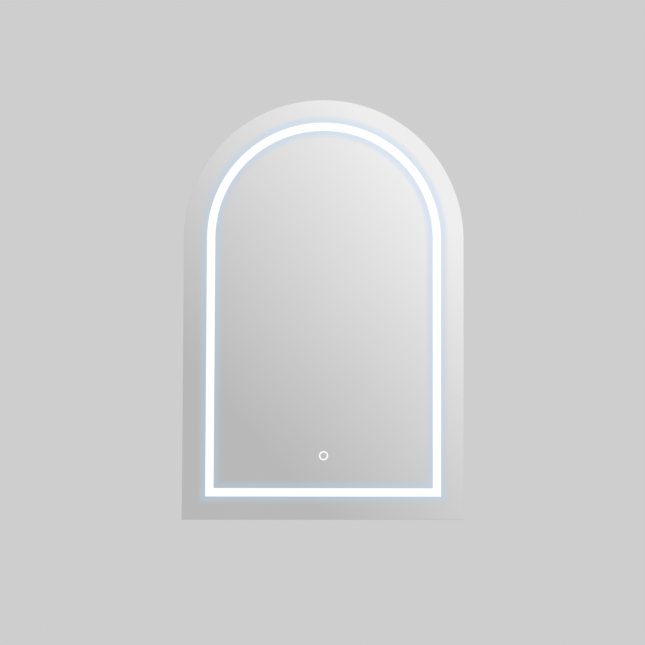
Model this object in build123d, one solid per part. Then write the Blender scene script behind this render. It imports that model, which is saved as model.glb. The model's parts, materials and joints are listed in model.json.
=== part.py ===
from build123d import *
import math
import os

# An arched, frameless, lighted mirror cabinet for a bathroom wall, in millimetres.
# X runs to the right seen from the front, the wall is the plane Y = 0, the front faces -Y, Z is up.
# The origin is the centre of the four wall screw holes, at mid-height of the mirror.

# Front glass
GLASS_WIDTH = 610.0
GLASS_HEIGHT = 914.0
GLASS_THICKNESS = 5.0
GLASS_OVERHANG = 10.0
GLASS_ARRIS = 0.5
TAPE_THICKNESS = 1.0
ETCH_DEPTH = 0.3

# Light band and touch ring, etched in the back of the glass
BAND_INSET = 50.0
BAND_WIDTH = 18.0
RING_ABOVE_EDGE = 138.0
RING_DIAMETER = 20.0
RING_STROKE = 3.0

# Cabinet body
BODY_DEPTH = 100.0
BODY_WALL = 1.5
LIP_WIDTH = 14.0
BOTTOM_FIT = 0.2
BACK_THICKNESS = 1.5
MIRROR_THICKNESS = 3.0
BACK_MIRROR_MARGIN = 16.0
HEAD_SIDES = 12
SHANK_SIDES = 8
RIVET_DIAMETER = 4.0
RIVET_HEAD_DIAMETER = 8.0
RIVET_HEAD_HEIGHT = 1.1
RIVET_FIT = 0.05
BACK_RIVET_COUNT = 9
BRACKET_LEG = 24.0
BRACKET_DEPTH = 60.0
BRACKET_WALL = 2.0

# Wall fixing and cable entry
WALL_SPACING_X = 406.4
WALL_SPACING_Z = 500.0
WALL_HOLE_DIAMETER = 7.0
DRIVER_ACCESS_DIAMETER = 18.0
ENTRY_SIDE_GAP = 3.0
ENTRY_ABOVE_COVER = 36.0
ENTRY_BORE = 9.0
ENTRY_NECK = 16.0
ENTRY_FLANGE = 24.0
ENTRY_FLANGE_HEIGHT = 3.0

# Shelves
SHELF_NAMES = ("upper", "middle", "lower")
SHELF_TOP_ABOVE_ARCH = 3.0
SHELF_SLOTS_APART = 5
SHELF_THICKNESS = 5.0
SHELF_DEPTH = 75.0
SHELF_SIDE_GAP = 1.5
SHELF_BACK_GAP = 2.0
SHELF_CORNER = 4.0
RAIL_WIDTH = 12.0
RAIL_HEIGHT = 4.0
RAIL_WALL = 1.0
RAIL_BOTTOM_GAP = 30.0
RAIL_TOP_GAP = 2.0
RAIL_FRONT_INSET = 30.0
RAIL_BACK_INSET = 22.0
SLOT_PITCH = 37.0
SLOT_WIDTH = 6.0
SLOT_HEIGHT = 3.0
CLIP_WIDTH = 5.4
CLIP_REACH = 9.0
CLIP_THICKNESS = 1.6
CLIP_BACK_HEIGHT = 12.0
CLIP_FIT = 0.2

# Electrics behind the cover in the top of the arch
COVER_BELOW_TOP = 127.0
COVER_WALL = 1.2
COVER_FIT = 0.3
COVER_NOTCH = 14.0
COVER_FLANGE = 12.0
COVER_SCREW_SPACING = 90.0
DRIVER_LENGTH = 150.0
DRIVER_WIDTH = 40.0
DRIVER_HEIGHT = 22.0
DRIVER_CORNER = 3.0
DRIVER_TAB = 12.0
DRIVER_TAB_HEIGHT = 3.0
DRIVER_FROM_FRONT = 12.0
TERMINAL_LENGTH = 40.0
TERMINAL_WIDTH = 24.0
TERMINAL_HEIGHT = 18.0
TERMINAL_GAP = 22.0
TERMINAL_POLES = 3
MAINS_LINK_DIAMETER = 6.0
SCREW_DIAMETER = 3.0
SCREW_HEAD_DIAMETER = 5.6
SCREW_HEAD_HEIGHT = 1.2

# Low-voltage lead from the driver to the door
LEAD_DIAMETER = 4.0
LEAD_WALL_GAP = 11.5
LEAD_FRONT_INSET = 14.0
LEAD_CORNER_RADIUS = 30.0
LEAD_CLIP_WIDTH = 8.0
LEAD_CLIP_WALL = 1.6
LEAD_CLIP_FIT = 0.1
LEAD_CLIP_ANGLES = (10.0, 24.0)
LEAD_BELOW_ARCH = 34.0
LEAD_FREE_HEIGHT = 96.0
LEAD_BUSH_LENGTH = 20.0
LEAD_BUSH_WALL = 3.0
DOOR_BUSH_SIDE = 23.0
DOOR_BUSH_HEIGHT = 24.0
DOOR_BUSH_STAND = 9.0
DOOR_BUSH_NECK = 7.0

# Door
DOOR_GAP = 2.2
TRAY_DEPTH = 17.0
TRAY_WALL = 1.5
DOOR_MIRROR_MARGIN = 32.0
CHANNEL_SIDE = 2.0
CHANNEL_WALL = 1.2
CHANNEL_LEDGE = 1.2
GLASS_RELIEF = 0.3
STRIP_WIDTH = 10.0
STRIP_THICKNESS = 0.4
STRIP_GAP = 6.0
CHIP_LENGTH = 3.5
CHIP_WIDTH = 2.8
CHIP_HEIGHT = 0.8
CHIP_PITCH = 50.0
DIFFUSER_THICKNESS = 1.5
DIFFUSER_FIT = 0.2
PAD_WIDTH = 280.0
PAD_HEIGHT = 380.0
PAD_THICKNESS = 0.5
PAD_BELOW_ARCH = 112.0
SENSOR_SIZE = 30.0
SENSOR_THICKNESS = 12.0
HARNESS_WIDTH = 3.0
HARNESS_INSIDE = 45.0
HARNESS_HOLE = 4.0

# Continuous hinge down the left side
HINGE_LOW_END = 17.0
KNUCKLE_LENGTH = 38.0
KNUCKLE_COUNT = 15
KNUCKLE_DIAMETER = 6.0
KNUCKLE_GAP = 0.3
PIN_DIAMETER = 3.0
PIN_FIT = 0.07
LEAF_THICKNESS = 1.0
LEAF_END_GAP = 1.0
LEAF_CLEARANCE = 0.4
HINGE_SIDE_CLEARANCE = 0.5
HINGE_SCREW_DIAMETER = 3.0
HINGE_SCREW_HEAD = 4.6
HINGE_SCREW_LENGTH = 4.0
HINGE_SCREW_FIT = 0.05

# Magnetic catch and bumpers on the right side
CATCH_BELOW_ARCH = 92.0
CATCH_HEIGHT = 44.0
CATCH_NOSE_WIDTH = 14.0
CATCH_LIP_GAP = 2.0
CATCH_DEPTH = 16.0
CATCH_GAP = 0.3
CATCH_WALL = 2.0
CATCH_FIT = 0.2
STRIKE_THICKNESS = 1.0
STRIKE_MARGIN = 3.0
BUMPER_DIAMETER = 8.0
BUMPER_GAP = 0.3

# Planes and levels worked out from the sizes above
HALF_HEIGHT = GLASS_HEIGHT / 2
ARCH_Z = HALF_HEIGHT - GLASS_WIDTH / 2
BODY_INSET = GLASS_OVERHANG
INNER_INSET = BODY_INSET + BODY_WALL
LIP_INSET = BODY_INSET + LIP_WIDTH
BODY_HALF = GLASS_WIDTH / 2 - BODY_INSET
INNER_HALF = GLASS_WIDTH / 2 - INNER_INSET
FLOOR_Z = -HALF_HEIGHT + INNER_INSET
BODY_FRONT = -BODY_DEPTH
LIP_BACK = BODY_FRONT + BODY_WALL
BACK_FRONT = -BODY_WALL - BACK_THICKNESS
BACK_MIRROR_FRONT = BACK_FRONT - MIRROR_THICKNESS
TRAY_BACK = BODY_FRONT - DOOR_GAP
TRAY_FLOOR = TRAY_BACK - TRAY_WALL
TRAY_FRONT = TRAY_BACK - TRAY_DEPTH
GLASS_BACK = TRAY_FRONT - TAPE_THICKNESS
GLASS_FRONT = GLASS_BACK - GLASS_THICKNESS
BAND_MIDDLE = BAND_INSET + BAND_WIDTH / 2
RING_Z = -HALF_HEIGHT + RING_ABOVE_EDGE
CHANNEL_OUTER = BAND_INSET - CHANNEL_SIDE
CHANNEL_INNER = BAND_INSET + BAND_WIDTH + CHANNEL_SIDE
HINGE_X = -BODY_HALF - KNUCKLE_DIAMETER / 2 - HINGE_SIDE_CLEARANCE
HINGE_Y = BODY_FRONT - DOOR_GAP / 2
HINGE_BOTTOM = -HALF_HEIGHT + BODY_INSET + HINGE_LOW_END
HINGE_TOP = HINGE_BOTTOM + KNUCKLE_COUNT * KNUCKLE_LENGTH
LEAD_Y = BODY_FRONT + LEAD_FRONT_INSET
LEAD_ARC_RADIUS = INNER_HALF - LEAD_WALL_GAP
COVER_FRONT = LIP_BACK + COVER_FIT
COVER_LEVEL = HALF_HEIGHT - COVER_BELOW_TOP
COVER_TOP = COVER_LEVEL + COVER_WALL
LEAD_LEVEL = COVER_TOP + DRIVER_HEIGHT / 2
LEAD_LEAVES_Z = ARCH_Z - LEAD_BELOW_ARCH
TERMINAL_X = DRIVER_LENGTH / 2 + TERMINAL_GAP
ENTRY_X = TERMINAL_X + TERMINAL_LENGTH + ENTRY_SIDE_GAP
ENTRY_Z = COVER_LEVEL + ENTRY_ABOVE_COVER
DOOR_BUSH_X = -BODY_HALF + DOOR_BUSH_SIDE
DOOR_BUSH_TOP_Z = LEAD_LEAVES_Z - LEAD_FREE_HEIGHT
CATCH_Z = ARCH_Z - CATCH_BELOW_ARCH
HARNESS_X = -GLASS_WIDTH / 2 + CHANNEL_INNER + HARNESS_INSIDE
PAD_CENTRE_Z = ARCH_Z - PAD_BELOW_ARCH
MIDDLE = (Align.CENTER, Align.CENTER, Align.CENTER)


# Basic shapes

def box(x, y, z):
    """A box between two values on each axis."""
    size = (x[1] - x[0], y[1] - y[0], z[1] - z[0])
    centre = ((x[0] + x[1]) / 2, (y[0] + y[1]) / 2, (z[0] + z[1]) / 2)
    return Pos(*centre) * Box(*size, align=MIDDLE)


def round_bar(diameter, start, end):
    """A cylinder from one point to another."""
    start, end = Vector(*start), Vector(*end)
    base = Plane(origin=start, z_dir=end - start)
    return extrude(base * Circle(diameter / 2), (end - start).length)


def fastener_bar(diameter, start, end, sides):
    """A many-sided bar for the heads, shanks and holes of small fasteners, with its corners on the diameter."""
    start, end = Vector(*start), Vector(*end)
    base = Plane(origin=start, z_dir=end - start)
    return extrude(base * RegularPolygon(diameter / 2, sides), (end - start).length)


def arch_face(inset, drop=0.0):
    """The outline of the glass drawn in by inset, on the wall plane. drop lengthens it downwards."""
    half = GLASS_WIDTH / 2 - inset
    low = -HALF_HEIGHT + inset - drop
    outline = Polyline((-half, ARCH_Z), (-half, low), (half, low), (half, ARCH_Z))
    crown = ThreePointArc((half, ARCH_Z), (0, ARCH_Z + half), (-half, ARCH_Z))
    return Plane.XZ * make_face(Curve() + [outline, crown])


def arch_plate(inset, y_back, y_front, drop=0.0):
    """A plate with the arched outline, from y_back forward to y_front."""
    return Pos(0, y_back, 0) * extrude(arch_face(inset, drop), y_back - y_front)


def arch_ring(outer, inner, y_back, y_front):
    """A closed arched ring between two insets."""
    return arch_plate(outer, y_back, y_front) - arch_plate(inner, y_back, y_front)


def arch_hoop(outer, inner, y_back, y_front):
    """An arched strip with no bottom run, its legs ending at the outer outline."""
    return arch_plate(outer, y_back, y_front) - arch_plate(inner, y_back, y_front, drop=inner)


def half_width_at(z, inset):
    """Half the width of the arched outline at a height."""
    half = GLASS_WIDTH / 2 - inset
    if z <= ARCH_Z:
        return half
    return math.sqrt(half ** 2 - (z - ARCH_Z) ** 2)


def along_arch(distance, inset):
    """The point at a distance up the right leg of an outline, over the crown and down the left leg."""
    half = GLASS_WIDTH / 2 - inset
    leg = ARCH_Z + HALF_HEIGHT - inset
    crown = math.pi * half
    if distance < leg:
        return half, -HALF_HEIGHT + inset + distance, 90.0
    if distance < leg + crown:
        turn = (distance - leg) / half
        return half * math.cos(turn), ARCH_Z + half * math.sin(turn), 90.0 + math.degrees(turn)
    return -half, ARCH_Z - (distance - leg - crown), 270.0


def arch_length(inset):
    """The length of that outline without its bottom run."""
    half = GLASS_WIDTH / 2 - inset
    return 2 * (ARCH_Z + HALF_HEIGHT - inset) + math.pi * half


def rivet(x, y_face, z, grip):
    """A blind rivet with its head on the plane y_face, facing the front, through grip of sheet."""
    shank = fastener_bar(RIVET_DIAMETER, (x, y_face, z), (x, y_face + grip, z), SHANK_SIDES)
    head_end = (x, y_face - RIVET_HEAD_HEIGHT, z)
    return shank + fastener_bar(RIVET_HEAD_DIAMETER, (x, y_face, z), head_end, HEAD_SIDES)


def rivet_hole(x, y_face, z, grip):
    """The clearance hole for that rivet."""
    hole = RIVET_DIAMETER + 2 * RIVET_FIT
    return fastener_bar(hole, (x, y_face, z), (x, y_face + grip, z), SHANK_SIDES)


def pan_screw(under_head, tip):
    """A pan-head screw, from under its head to its tip."""
    under_head, tip = Vector(*under_head), Vector(*tip)
    back = (under_head - tip).normalized()
    head_end = under_head + back * SCREW_HEAD_HEIGHT
    head = fastener_bar(SCREW_HEAD_DIAMETER, under_head, head_end, HEAD_SIDES)
    return head + fastener_bar(SCREW_DIAMETER, under_head, tip, SHANK_SIDES)


def screw_hole(under_head, tip):
    """The clearance hole for that screw."""
    return fastener_bar(SCREW_DIAMETER + 2 * RIVET_FIT, under_head, tip, SHANK_SIDES)


# Places shared by several pieces

def back_rivet_places():
    """Rivets round the rear lip, evenly spaced."""
    inset = BODY_INSET + LIP_WIDTH / 2
    step = arch_length(inset) / BACK_RIVET_COUNT
    return [along_arch(step * (i + 0.5), inset)[:2] for i in range(BACK_RIVET_COUNT)]


def wall_screw_places():
    """The four wall screws, on a rectangle round the origin."""
    return [(sx * WALL_SPACING_X / 2, sz * WALL_SPACING_Z / 2) for sx in (-1, 1) for sz in (-1, 1)]


def rail_places():
    """Each shelf rail by name: the side it is on and its depth line."""
    front = BODY_FRONT + RAIL_FRONT_INSET
    back = -RAIL_BACK_INSET
    return {
        "front_left": (-1, front),
        "back_left": (-1, back),
        "front_right": (1, front),
        "back_right": (1, back),
    }


RAIL_LOW = FLOOR_Z + RAIL_BOTTOM_GAP
RAIL_HIGH = ARCH_Z - RAIL_TOP_GAP


def top_slot_level():
    """The slot that the top shelf's clips hook into."""
    return ARCH_Z + SHELF_TOP_ABOVE_ARCH - SHELF_THICKNESS - CLIP_BACK_HEIGHT / 2


def slot_levels():
    """The slots of a rail, SLOT_PITCH apart, from the top shelf's down."""
    count = int((top_slot_level() - RAIL_LOW - SLOT_HEIGHT) // SLOT_PITCH) + 1
    return [top_slot_level() - i * SLOT_PITCH for i in range(count)]


def shelf_slot_levels():
    """The slot used by each shelf, by the shelf's name."""
    return {name: slot_levels()[i * SHELF_SLOTS_APART] for i, name in enumerate(SHELF_NAMES)}


# Cabinet body

def make_body_shell():
    """One bent aluminium strip: side walls and arched top, with a lip turned in at front and back."""
    wall = arch_hoop(BODY_INSET, INNER_INSET, 0, BODY_FRONT)
    front_lip = arch_hoop(BODY_INSET, LIP_INSET, LIP_BACK, BODY_FRONT)
    rear_lip = arch_hoop(BODY_INSET, LIP_INSET, 0, -BODY_WALL)
    shell = wall + front_lip + rear_lip
    for x, z in back_rivet_places():
        shell -= rivet_hole(x, -BODY_WALL, z, BODY_WALL)
    for z in hinge_screw_levels(body_side=True):
        shell -= hinge_screw_hole(z, LIP_BACK, BODY_FRONT)
    for under_head, tip in bracket_screw_places() + catch_screw_places():
        shell -= screw_hole(under_head, tip)
    return shell


def make_bottom_panel():
    """The folded floor of the cabinet, set between the side walls, with its own two lips."""
    half = INNER_HALF - BOTTOM_FIT
    low = -HALF_HEIGHT + BODY_INSET
    lip_half = GLASS_WIDTH / 2 - LIP_INSET - BOTTOM_FIT
    lip_top = low + LIP_WIDTH
    reach = BODY_WALL + BOTTOM_FIT
    panel = box((-half, half), (BODY_FRONT + reach, -reach), (low, low + BODY_WALL))
    for y_back, y_front in ((0, -BODY_WALL), (LIP_BACK, BODY_FRONT)):
        panel += box((-lip_half, lip_half), (y_front, y_back), (low, lip_top))
    tongue = box((-lip_half, lip_half), (BODY_FRONT, 0), (low, low + BODY_WALL))
    return panel + tongue


def make_back_panel():
    """The sheet back, inside the rear lip, with wall screw holes and the cable entry."""
    panel = arch_plate(INNER_INSET + BOTTOM_FIT, -BODY_WALL, BACK_FRONT)
    for x, z in back_rivet_places():
        panel -= rivet_hole(x, BACK_FRONT, z, BACK_THICKNESS)
    for x, z in wall_screw_places():
        panel -= round_bar(WALL_HOLE_DIAMETER, (x, BACK_FRONT, z), (x, -BODY_WALL, z))
    panel -= round_bar(ENTRY_NECK, (ENTRY_X, BACK_FRONT, ENTRY_Z), (ENTRY_X, -BODY_WALL, ENTRY_Z))
    for under_head, tip in cover_screw_places():
        panel -= screw_hole(under_head, tip)
    return panel


def make_back_mirror():
    """The mirror on the back panel, under the cover, with room for a screwdriver at each wall screw."""
    sheet = arch_plate(INNER_INSET + BACK_MIRROR_MARGIN, BACK_FRONT, BACK_MIRROR_FRONT)
    top = COVER_LEVEL - COVER_FIT
    sheet &= box((-BODY_HALF, BODY_HALF), (-BODY_DEPTH, 0), (-HALF_HEIGHT, top))
    for x, z in wall_screw_places():
        sheet -= round_bar(DRIVER_ACCESS_DIAMETER, (x, BACK_MIRROR_FRONT, z), (x, BACK_FRONT, z))
    return sheet


def make_corner_bracket(side):
    """A folded angle that ties the side wall to the bottom panel."""
    leg = BRACKET_LEG
    middle = -BODY_DEPTH / 2
    depth = (middle - BRACKET_DEPTH / 2, middle + BRACKET_DEPTH / 2)
    upright = box((INNER_HALF - BRACKET_WALL, INNER_HALF), depth, (FLOOR_Z, FLOOR_Z + leg))
    foot = box((INNER_HALF - leg, INNER_HALF), depth, (FLOOR_Z, FLOOR_Z + BRACKET_WALL))
    bracket = upright + foot
    inner = bracket.edges().filter_by(Axis.Y).sort_by_distance(
        (INNER_HALF - BRACKET_WALL, middle, FLOOR_Z + BRACKET_WALL)
    )[0]
    bracket = fillet(inner, BRACKET_WALL)
    return bracket if side > 0 else mirror(bracket, Plane.YZ)


def bracket_screw_places():
    """Each bracket screw, from under its head to its tip: two in the foot and two in the upright."""
    middle = (BRACKET_LEG + BRACKET_WALL) / 2
    places = []
    for side in (-1, 1):
        for y in (-BODY_DEPTH / 2 - BRACKET_DEPTH / 4, -BODY_DEPTH / 2 + BRACKET_DEPTH / 4):
            x = side * (INNER_HALF - middle)
            places.append(((x, y, FLOOR_Z + BRACKET_WALL), (x, y, FLOOR_Z - BODY_WALL)))
            z = FLOOR_Z + middle
            places.append(((side * (INNER_HALF - BRACKET_WALL), y, z), (side * BODY_HALF, y, z)))
    return places


# Shelves

def make_shelf_rail(side, y):
    """A slotted channel that stands on the side wall, open towards the wall."""
    low, high = RAIL_LOW, RAIL_HIGH
    face = INNER_HALF - RAIL_HEIGHT
    half = RAIL_WIDTH / 2
    rail = box((face, INNER_HALF), (y - half, y + half), (low, high))
    hollow = half - RAIL_WALL
    rail -= box((face + RAIL_WALL, INNER_HALF), (y - hollow, y + hollow), (low, high))
    half_slot = SLOT_WIDTH / 2
    for z in slot_levels():
        rail -= box(
            (face, face + RAIL_WALL),
            (y - half_slot, y + half_slot),
            (z - SLOT_HEIGHT / 2, z + SLOT_HEIGHT / 2),
        )
    return rail if side > 0 else mirror(rail, Plane.YZ)


def make_shelf_clip(side, y, slot_z):
    """A bent clip hooked in a slot, with the tab that the shelf lies on."""
    face = INNER_HALF - RAIL_HEIGHT
    back = (face - CLIP_THICKNESS, face)
    depth = (y - CLIP_WIDTH / 2, y + CLIP_WIDTH / 2)
    half = CLIP_BACK_HEIGHT / 2
    top = slot_z + half
    plate = box(back, depth, (slot_z - half, top))
    tab = box((face - CLIP_REACH, face), depth, (top - CLIP_THICKNESS, top))
    tongue_half = SLOT_HEIGHT / 2 - CLIP_FIT
    tongue = box((face, face + 2 * RAIL_WALL), depth, (slot_z - tongue_half, slot_z + tongue_half))
    clip = plate + tab + tongue
    return clip if side > 0 else mirror(clip, Plane.YZ)


def make_shelf(slot_z):
    """A glass shelf with rounded corners that lies on four clips."""
    half = INNER_HALF - RAIL_HEIGHT - SHELF_SIDE_GAP
    back = BACK_MIRROR_FRONT - SHELF_BACK_GAP
    bottom = slot_z + CLIP_BACK_HEIGHT / 2
    shelf = box((-half, half), (back - SHELF_DEPTH, back), (bottom, bottom + SHELF_THICKNESS))
    return fillet(shelf.edges().filter_by(Axis.Z), SHELF_CORNER)


# Electrics

def make_driver_cover():
    """The folded cover that closes off the top of the arch: a floor, an arched front and a rear flange."""
    inset = INNER_INSET + COVER_FIT
    half = half_width_at(COVER_TOP, inset)
    cover = box((-half, half), (COVER_FRONT, BACK_FRONT), (COVER_LEVEL, COVER_TOP))
    front = arch_plate(inset, COVER_FRONT + COVER_WALL, COVER_FRONT)
    cover += front & box((-half, half), (-BODY_DEPTH, 0), (COVER_LEVEL, HALF_HEIGHT))
    flange_half = half_width_at(COVER_TOP + COVER_FLANGE, INNER_INSET + LIP_WIDTH)
    flange = box(
        (-flange_half, flange_half),
        (BACK_FRONT - COVER_WALL, BACK_FRONT),
        (COVER_LEVEL, COVER_TOP + COVER_FLANGE),
    )
    cover += flange
    x, z = lead_arc_point(math.degrees(math.asin((COVER_LEVEL - ARCH_Z) / LEAD_ARC_RADIUS)))
    half_notch = COVER_NOTCH / 2
    notch = (x - half_notch, x + half_notch)
    cover -= box(notch, (LEAD_Y - half_notch / 2, LEAD_Y + half_notch), (COVER_LEVEL, COVER_TOP))
    for under_head, tip in cover_screw_places() + driver_screw_places():
        cover -= screw_hole(under_head, tip)
    return cover


def cover_screw_places():
    """Three screws through the cover's rear flange into the back panel."""
    z = COVER_TOP + COVER_FLANGE / 2
    y = BACK_FRONT - COVER_WALL
    return [((x, y, z), (x, -BODY_WALL, z)) for x in (-COVER_SCREW_SPACING, 0, COVER_SCREW_SPACING)]


def driver_depth():
    """The driver's place between front and back, on the cover's floor."""
    front = COVER_FRONT + COVER_WALL + DRIVER_FROM_FRONT - DRIVER_WIDTH / 4
    return front, front + DRIVER_WIDTH


def driver_screw_places():
    """One screw down through the tab at each end of the driver."""
    front, back = driver_depth()
    x = (DRIVER_LENGTH + DRIVER_TAB) / 2
    y = (front + back) / 2 + DRIVER_WIDTH / 4
    top = COVER_TOP + DRIVER_TAB_HEIGHT
    return [((side * x, y, top), (side * x, y, COVER_LEVEL)) for side in (-1, 1)]


def make_led_driver():
    """The sealed power supply, with a screw tab at each end."""
    half = DRIVER_LENGTH / 2
    case = box((-half, half), driver_depth(), (COVER_TOP, COVER_TOP + DRIVER_HEIGHT))
    case = fillet(case.edges().filter_by(Axis.X), DRIVER_CORNER)
    for under_head, tip in driver_screw_places():
        side = math.copysign(1, tip[0])
        ends = sorted((side * half, side * (half + DRIVER_TAB)))
        depth = (tip[1] - DRIVER_TAB / 2, tip[1] + DRIVER_TAB / 2)
        tab = box(ends, depth, (COVER_TOP, COVER_TOP + DRIVER_TAB_HEIGHT))
        case += tab - screw_hole(under_head, tip)
    return case


def make_terminal_block():
    """The mains terminal block, with a screw well over each pole."""
    x = TERMINAL_X
    front, back = driver_depth()
    middle = (front + back) / 2 - DRIVER_WIDTH / 5
    depth = (middle - TERMINAL_WIDTH / 2, middle + TERMINAL_WIDTH / 2)
    block = box((x, x + TERMINAL_LENGTH), depth, (COVER_TOP, COVER_TOP + TERMINAL_HEIGHT))
    pitch = TERMINAL_LENGTH / TERMINAL_POLES
    top = COVER_TOP + TERMINAL_HEIGHT
    for i in range(TERMINAL_POLES):
        well_x = x + pitch * (i + 0.5)
        block -= round_bar(pitch / 2, (well_x, middle, top), (well_x, middle, top - TERMINAL_HEIGHT / 2))
    return block


def make_mains_link():
    """The short sheathed link between terminal block and driver."""
    front, back = driver_depth()
    y = (front + back) / 2 - DRIVER_WIDTH / 5
    z = COVER_TOP + TERMINAL_HEIGHT / 2
    return round_bar(MAINS_LINK_DIAMETER, (DRIVER_LENGTH / 2, y, z), (TERMINAL_X, y, z))


def make_cable_gland():
    """The rubber bush in the back panel that the mains cable is brought in through."""
    rear = -BODY_WALL
    neck = round_bar(ENTRY_NECK - 2 * RIVET_FIT, (ENTRY_X, rear, ENTRY_Z), (ENTRY_X, BACK_FRONT, ENTRY_Z))
    flange_end = BACK_FRONT - ENTRY_FLANGE_HEIGHT
    flange = round_bar(ENTRY_FLANGE, (ENTRY_X, BACK_FRONT, ENTRY_Z), (ENTRY_X, flange_end, ENTRY_Z))
    edge = flange.edges().filter_by(GeomType.CIRCLE).sort_by(Axis.Y)[0]
    flange = chamfer(edge, ENTRY_FLANGE_HEIGHT / 2)
    bore = round_bar(ENTRY_BORE, (ENTRY_X, rear, ENTRY_Z), (ENTRY_X, flange_end, ENTRY_Z))
    return neck + flange - bore


# Low-voltage lead

def lead_arc_point(angle):
    """A point of the lead's run along the left of the arch, at an angle above the spring line."""
    turn = math.radians(angle)
    return -LEAD_ARC_RADIUS * math.cos(turn), ARCH_Z + LEAD_ARC_RADIUS * math.sin(turn)


def tube_along(path, diameter):
    """A round lead swept along a smooth path."""
    start = Plane(origin=path @ 0, z_dir=path % 0)
    return sweep(start * Circle(diameter / 2), path=path)


def make_supply_lead():
    """From the driver to the left, down through the cover and along the arch to the clip at the side."""
    bend = LEAD_CORNER_RADIUS
    centre_z = LEAD_LEVEL - bend
    centre_x = -math.sqrt((LEAD_ARC_RADIUS - bend) ** 2 - (centre_z - ARCH_Z) ** 2)
    turn = math.atan2(centre_z - ARCH_Z, -centre_x)
    leave_x = -LEAD_ARC_RADIUS * math.cos(turn)
    leave_z = ARCH_Z + LEAD_ARC_RADIUS * math.sin(turn)
    mid = (math.pi / 2 + turn) / 2
    bend_mid = (centre_x - bend * math.cos(mid), LEAD_Y, centre_z + bend * math.sin(mid))
    arc_mid_x, arc_mid_z = lead_arc_point(math.degrees(turn) / 2)
    start = (-DRIVER_LENGTH / 2, LEAD_Y, LEAD_LEVEL)
    corner = (centre_x, LEAD_Y, LEAD_LEVEL)
    joined = (leave_x, LEAD_Y, leave_z)
    spring = (-LEAD_ARC_RADIUS, LEAD_Y, ARCH_Z)
    end = (-LEAD_ARC_RADIUS, LEAD_Y, LEAD_LEAVES_Z)
    path = Wire([
        Line(start, corner),
        ThreePointArc(corner, bend_mid, joined),
        ThreePointArc(joined, (arc_mid_x, LEAD_Y, arc_mid_z), spring),
        Line(spring, end),
    ])
    return tube_along(path, LEAD_DIAMETER), path.length


def make_lead_clips():
    """Saddles that hold the lead to the side wall along the arch."""
    clips = []
    tight = LEAD_DIAMETER / 2 + LEAD_CLIP_FIT
    for angle in LEAD_CLIP_ANGLES:
        reach = LEAD_WALL_GAP - LEAD_CLIP_FIT
        half_y = tight + LEAD_CLIP_WALL
        block = box((-reach, half_y), (-half_y, half_y), (-LEAD_CLIP_WIDTH / 2, LEAD_CLIP_WIDTH / 2))
        block = chamfer(block.edges().filter_by(Axis.Z).group_by(Axis.X)[-1], half_y * 0.4)
        block -= round_bar(2 * tight, (0, 0, -LEAD_CLIP_WIDTH), (0, 0, LEAD_CLIP_WIDTH))
        half_chord = LEAD_CLIP_WIDTH / 2
        hollow = INNER_HALF - math.sqrt(INNER_HALF ** 2 - half_chord ** 2)
        block -= box((-LEAD_WALL_GAP, -reach + hollow), (-half_y, half_y), (-half_chord, half_chord))
        x, z = lead_arc_point(angle)
        clips.append(Pos(x, LEAD_Y, z) * Rot(0, angle, 0) * block)
    return clips


def make_lead_bush_body():
    """The saddle at the side wall, where the lead turns loose towards the door."""
    tight = LEAD_DIAMETER / 2 + LEAD_CLIP_FIT
    half_y = tight + LEAD_BUSH_WALL
    x = -LEAD_ARC_RADIUS
    z = (LEAD_LEAVES_Z, LEAD_LEAVES_Z + LEAD_BUSH_LENGTH)
    bush = box((-INNER_HALF, x + half_y), (LEAD_Y - half_y, LEAD_Y + half_y), z)
    bush = chamfer(bush.edges().filter_by(Axis.Z).group_by(Axis.X)[-1], half_y * 0.4)
    return bush - round_bar(2 * tight, (x, LEAD_Y, z[0]), (x, LEAD_Y, z[1]))


def door_bush_lead_y():
    """The depth at which the lead enters the door bush."""
    return TRAY_BACK + DOOR_BUSH_STAND / 2


DOOR_LEAD_ROUTE = [
    (-LEAD_ARC_RADIUS, LEAD_Y, LEAD_LEAVES_Z),
    (-LEAD_ARC_RADIUS, LEAD_Y, LEAD_LEAVES_Z - 22.0),
    (-LEAD_ARC_RADIUS + 4.0, LEAD_Y - 4.5, LEAD_LEAVES_Z - 48.0),
    (DOOR_BUSH_X, door_bush_lead_y(), DOOR_BUSH_TOP_Z + 24.0),
    (DOOR_BUSH_X, door_bush_lead_y(), DOOR_BUSH_TOP_Z),
]


def corner_radii(points):
    """For each corner: 0.45 of the shorter run over the tangent of half the turn."""
    radii = []
    for before, here, after in zip(points, points[1:], points[2:]):
        into = Vector(*here) - Vector(*before)
        out = Vector(*after) - Vector(*here)
        half_turn = math.radians(into.get_angle(out)) / 2
        radii.append(0.45 * min(into.length, out.length) / math.tan(half_turn))
    return radii


def make_free_lead(points, diameter, label):
    """A lead along straight runs joined by tangent arcs. Prints its radii and checks its volume."""
    radii = corner_radii(points)
    path = FilletPolyline(*points, radius=radii)
    tube = tube_along(path, diameter)
    ratio = tube.volume / (math.pi * diameter ** 2 / 4 * path.length)
    rounded = [round(r) for r in radii]
    print(label, "length", round(path.length, 1), "radii", rounded, "volume ratio", round(ratio, 4))
    return tube


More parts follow.
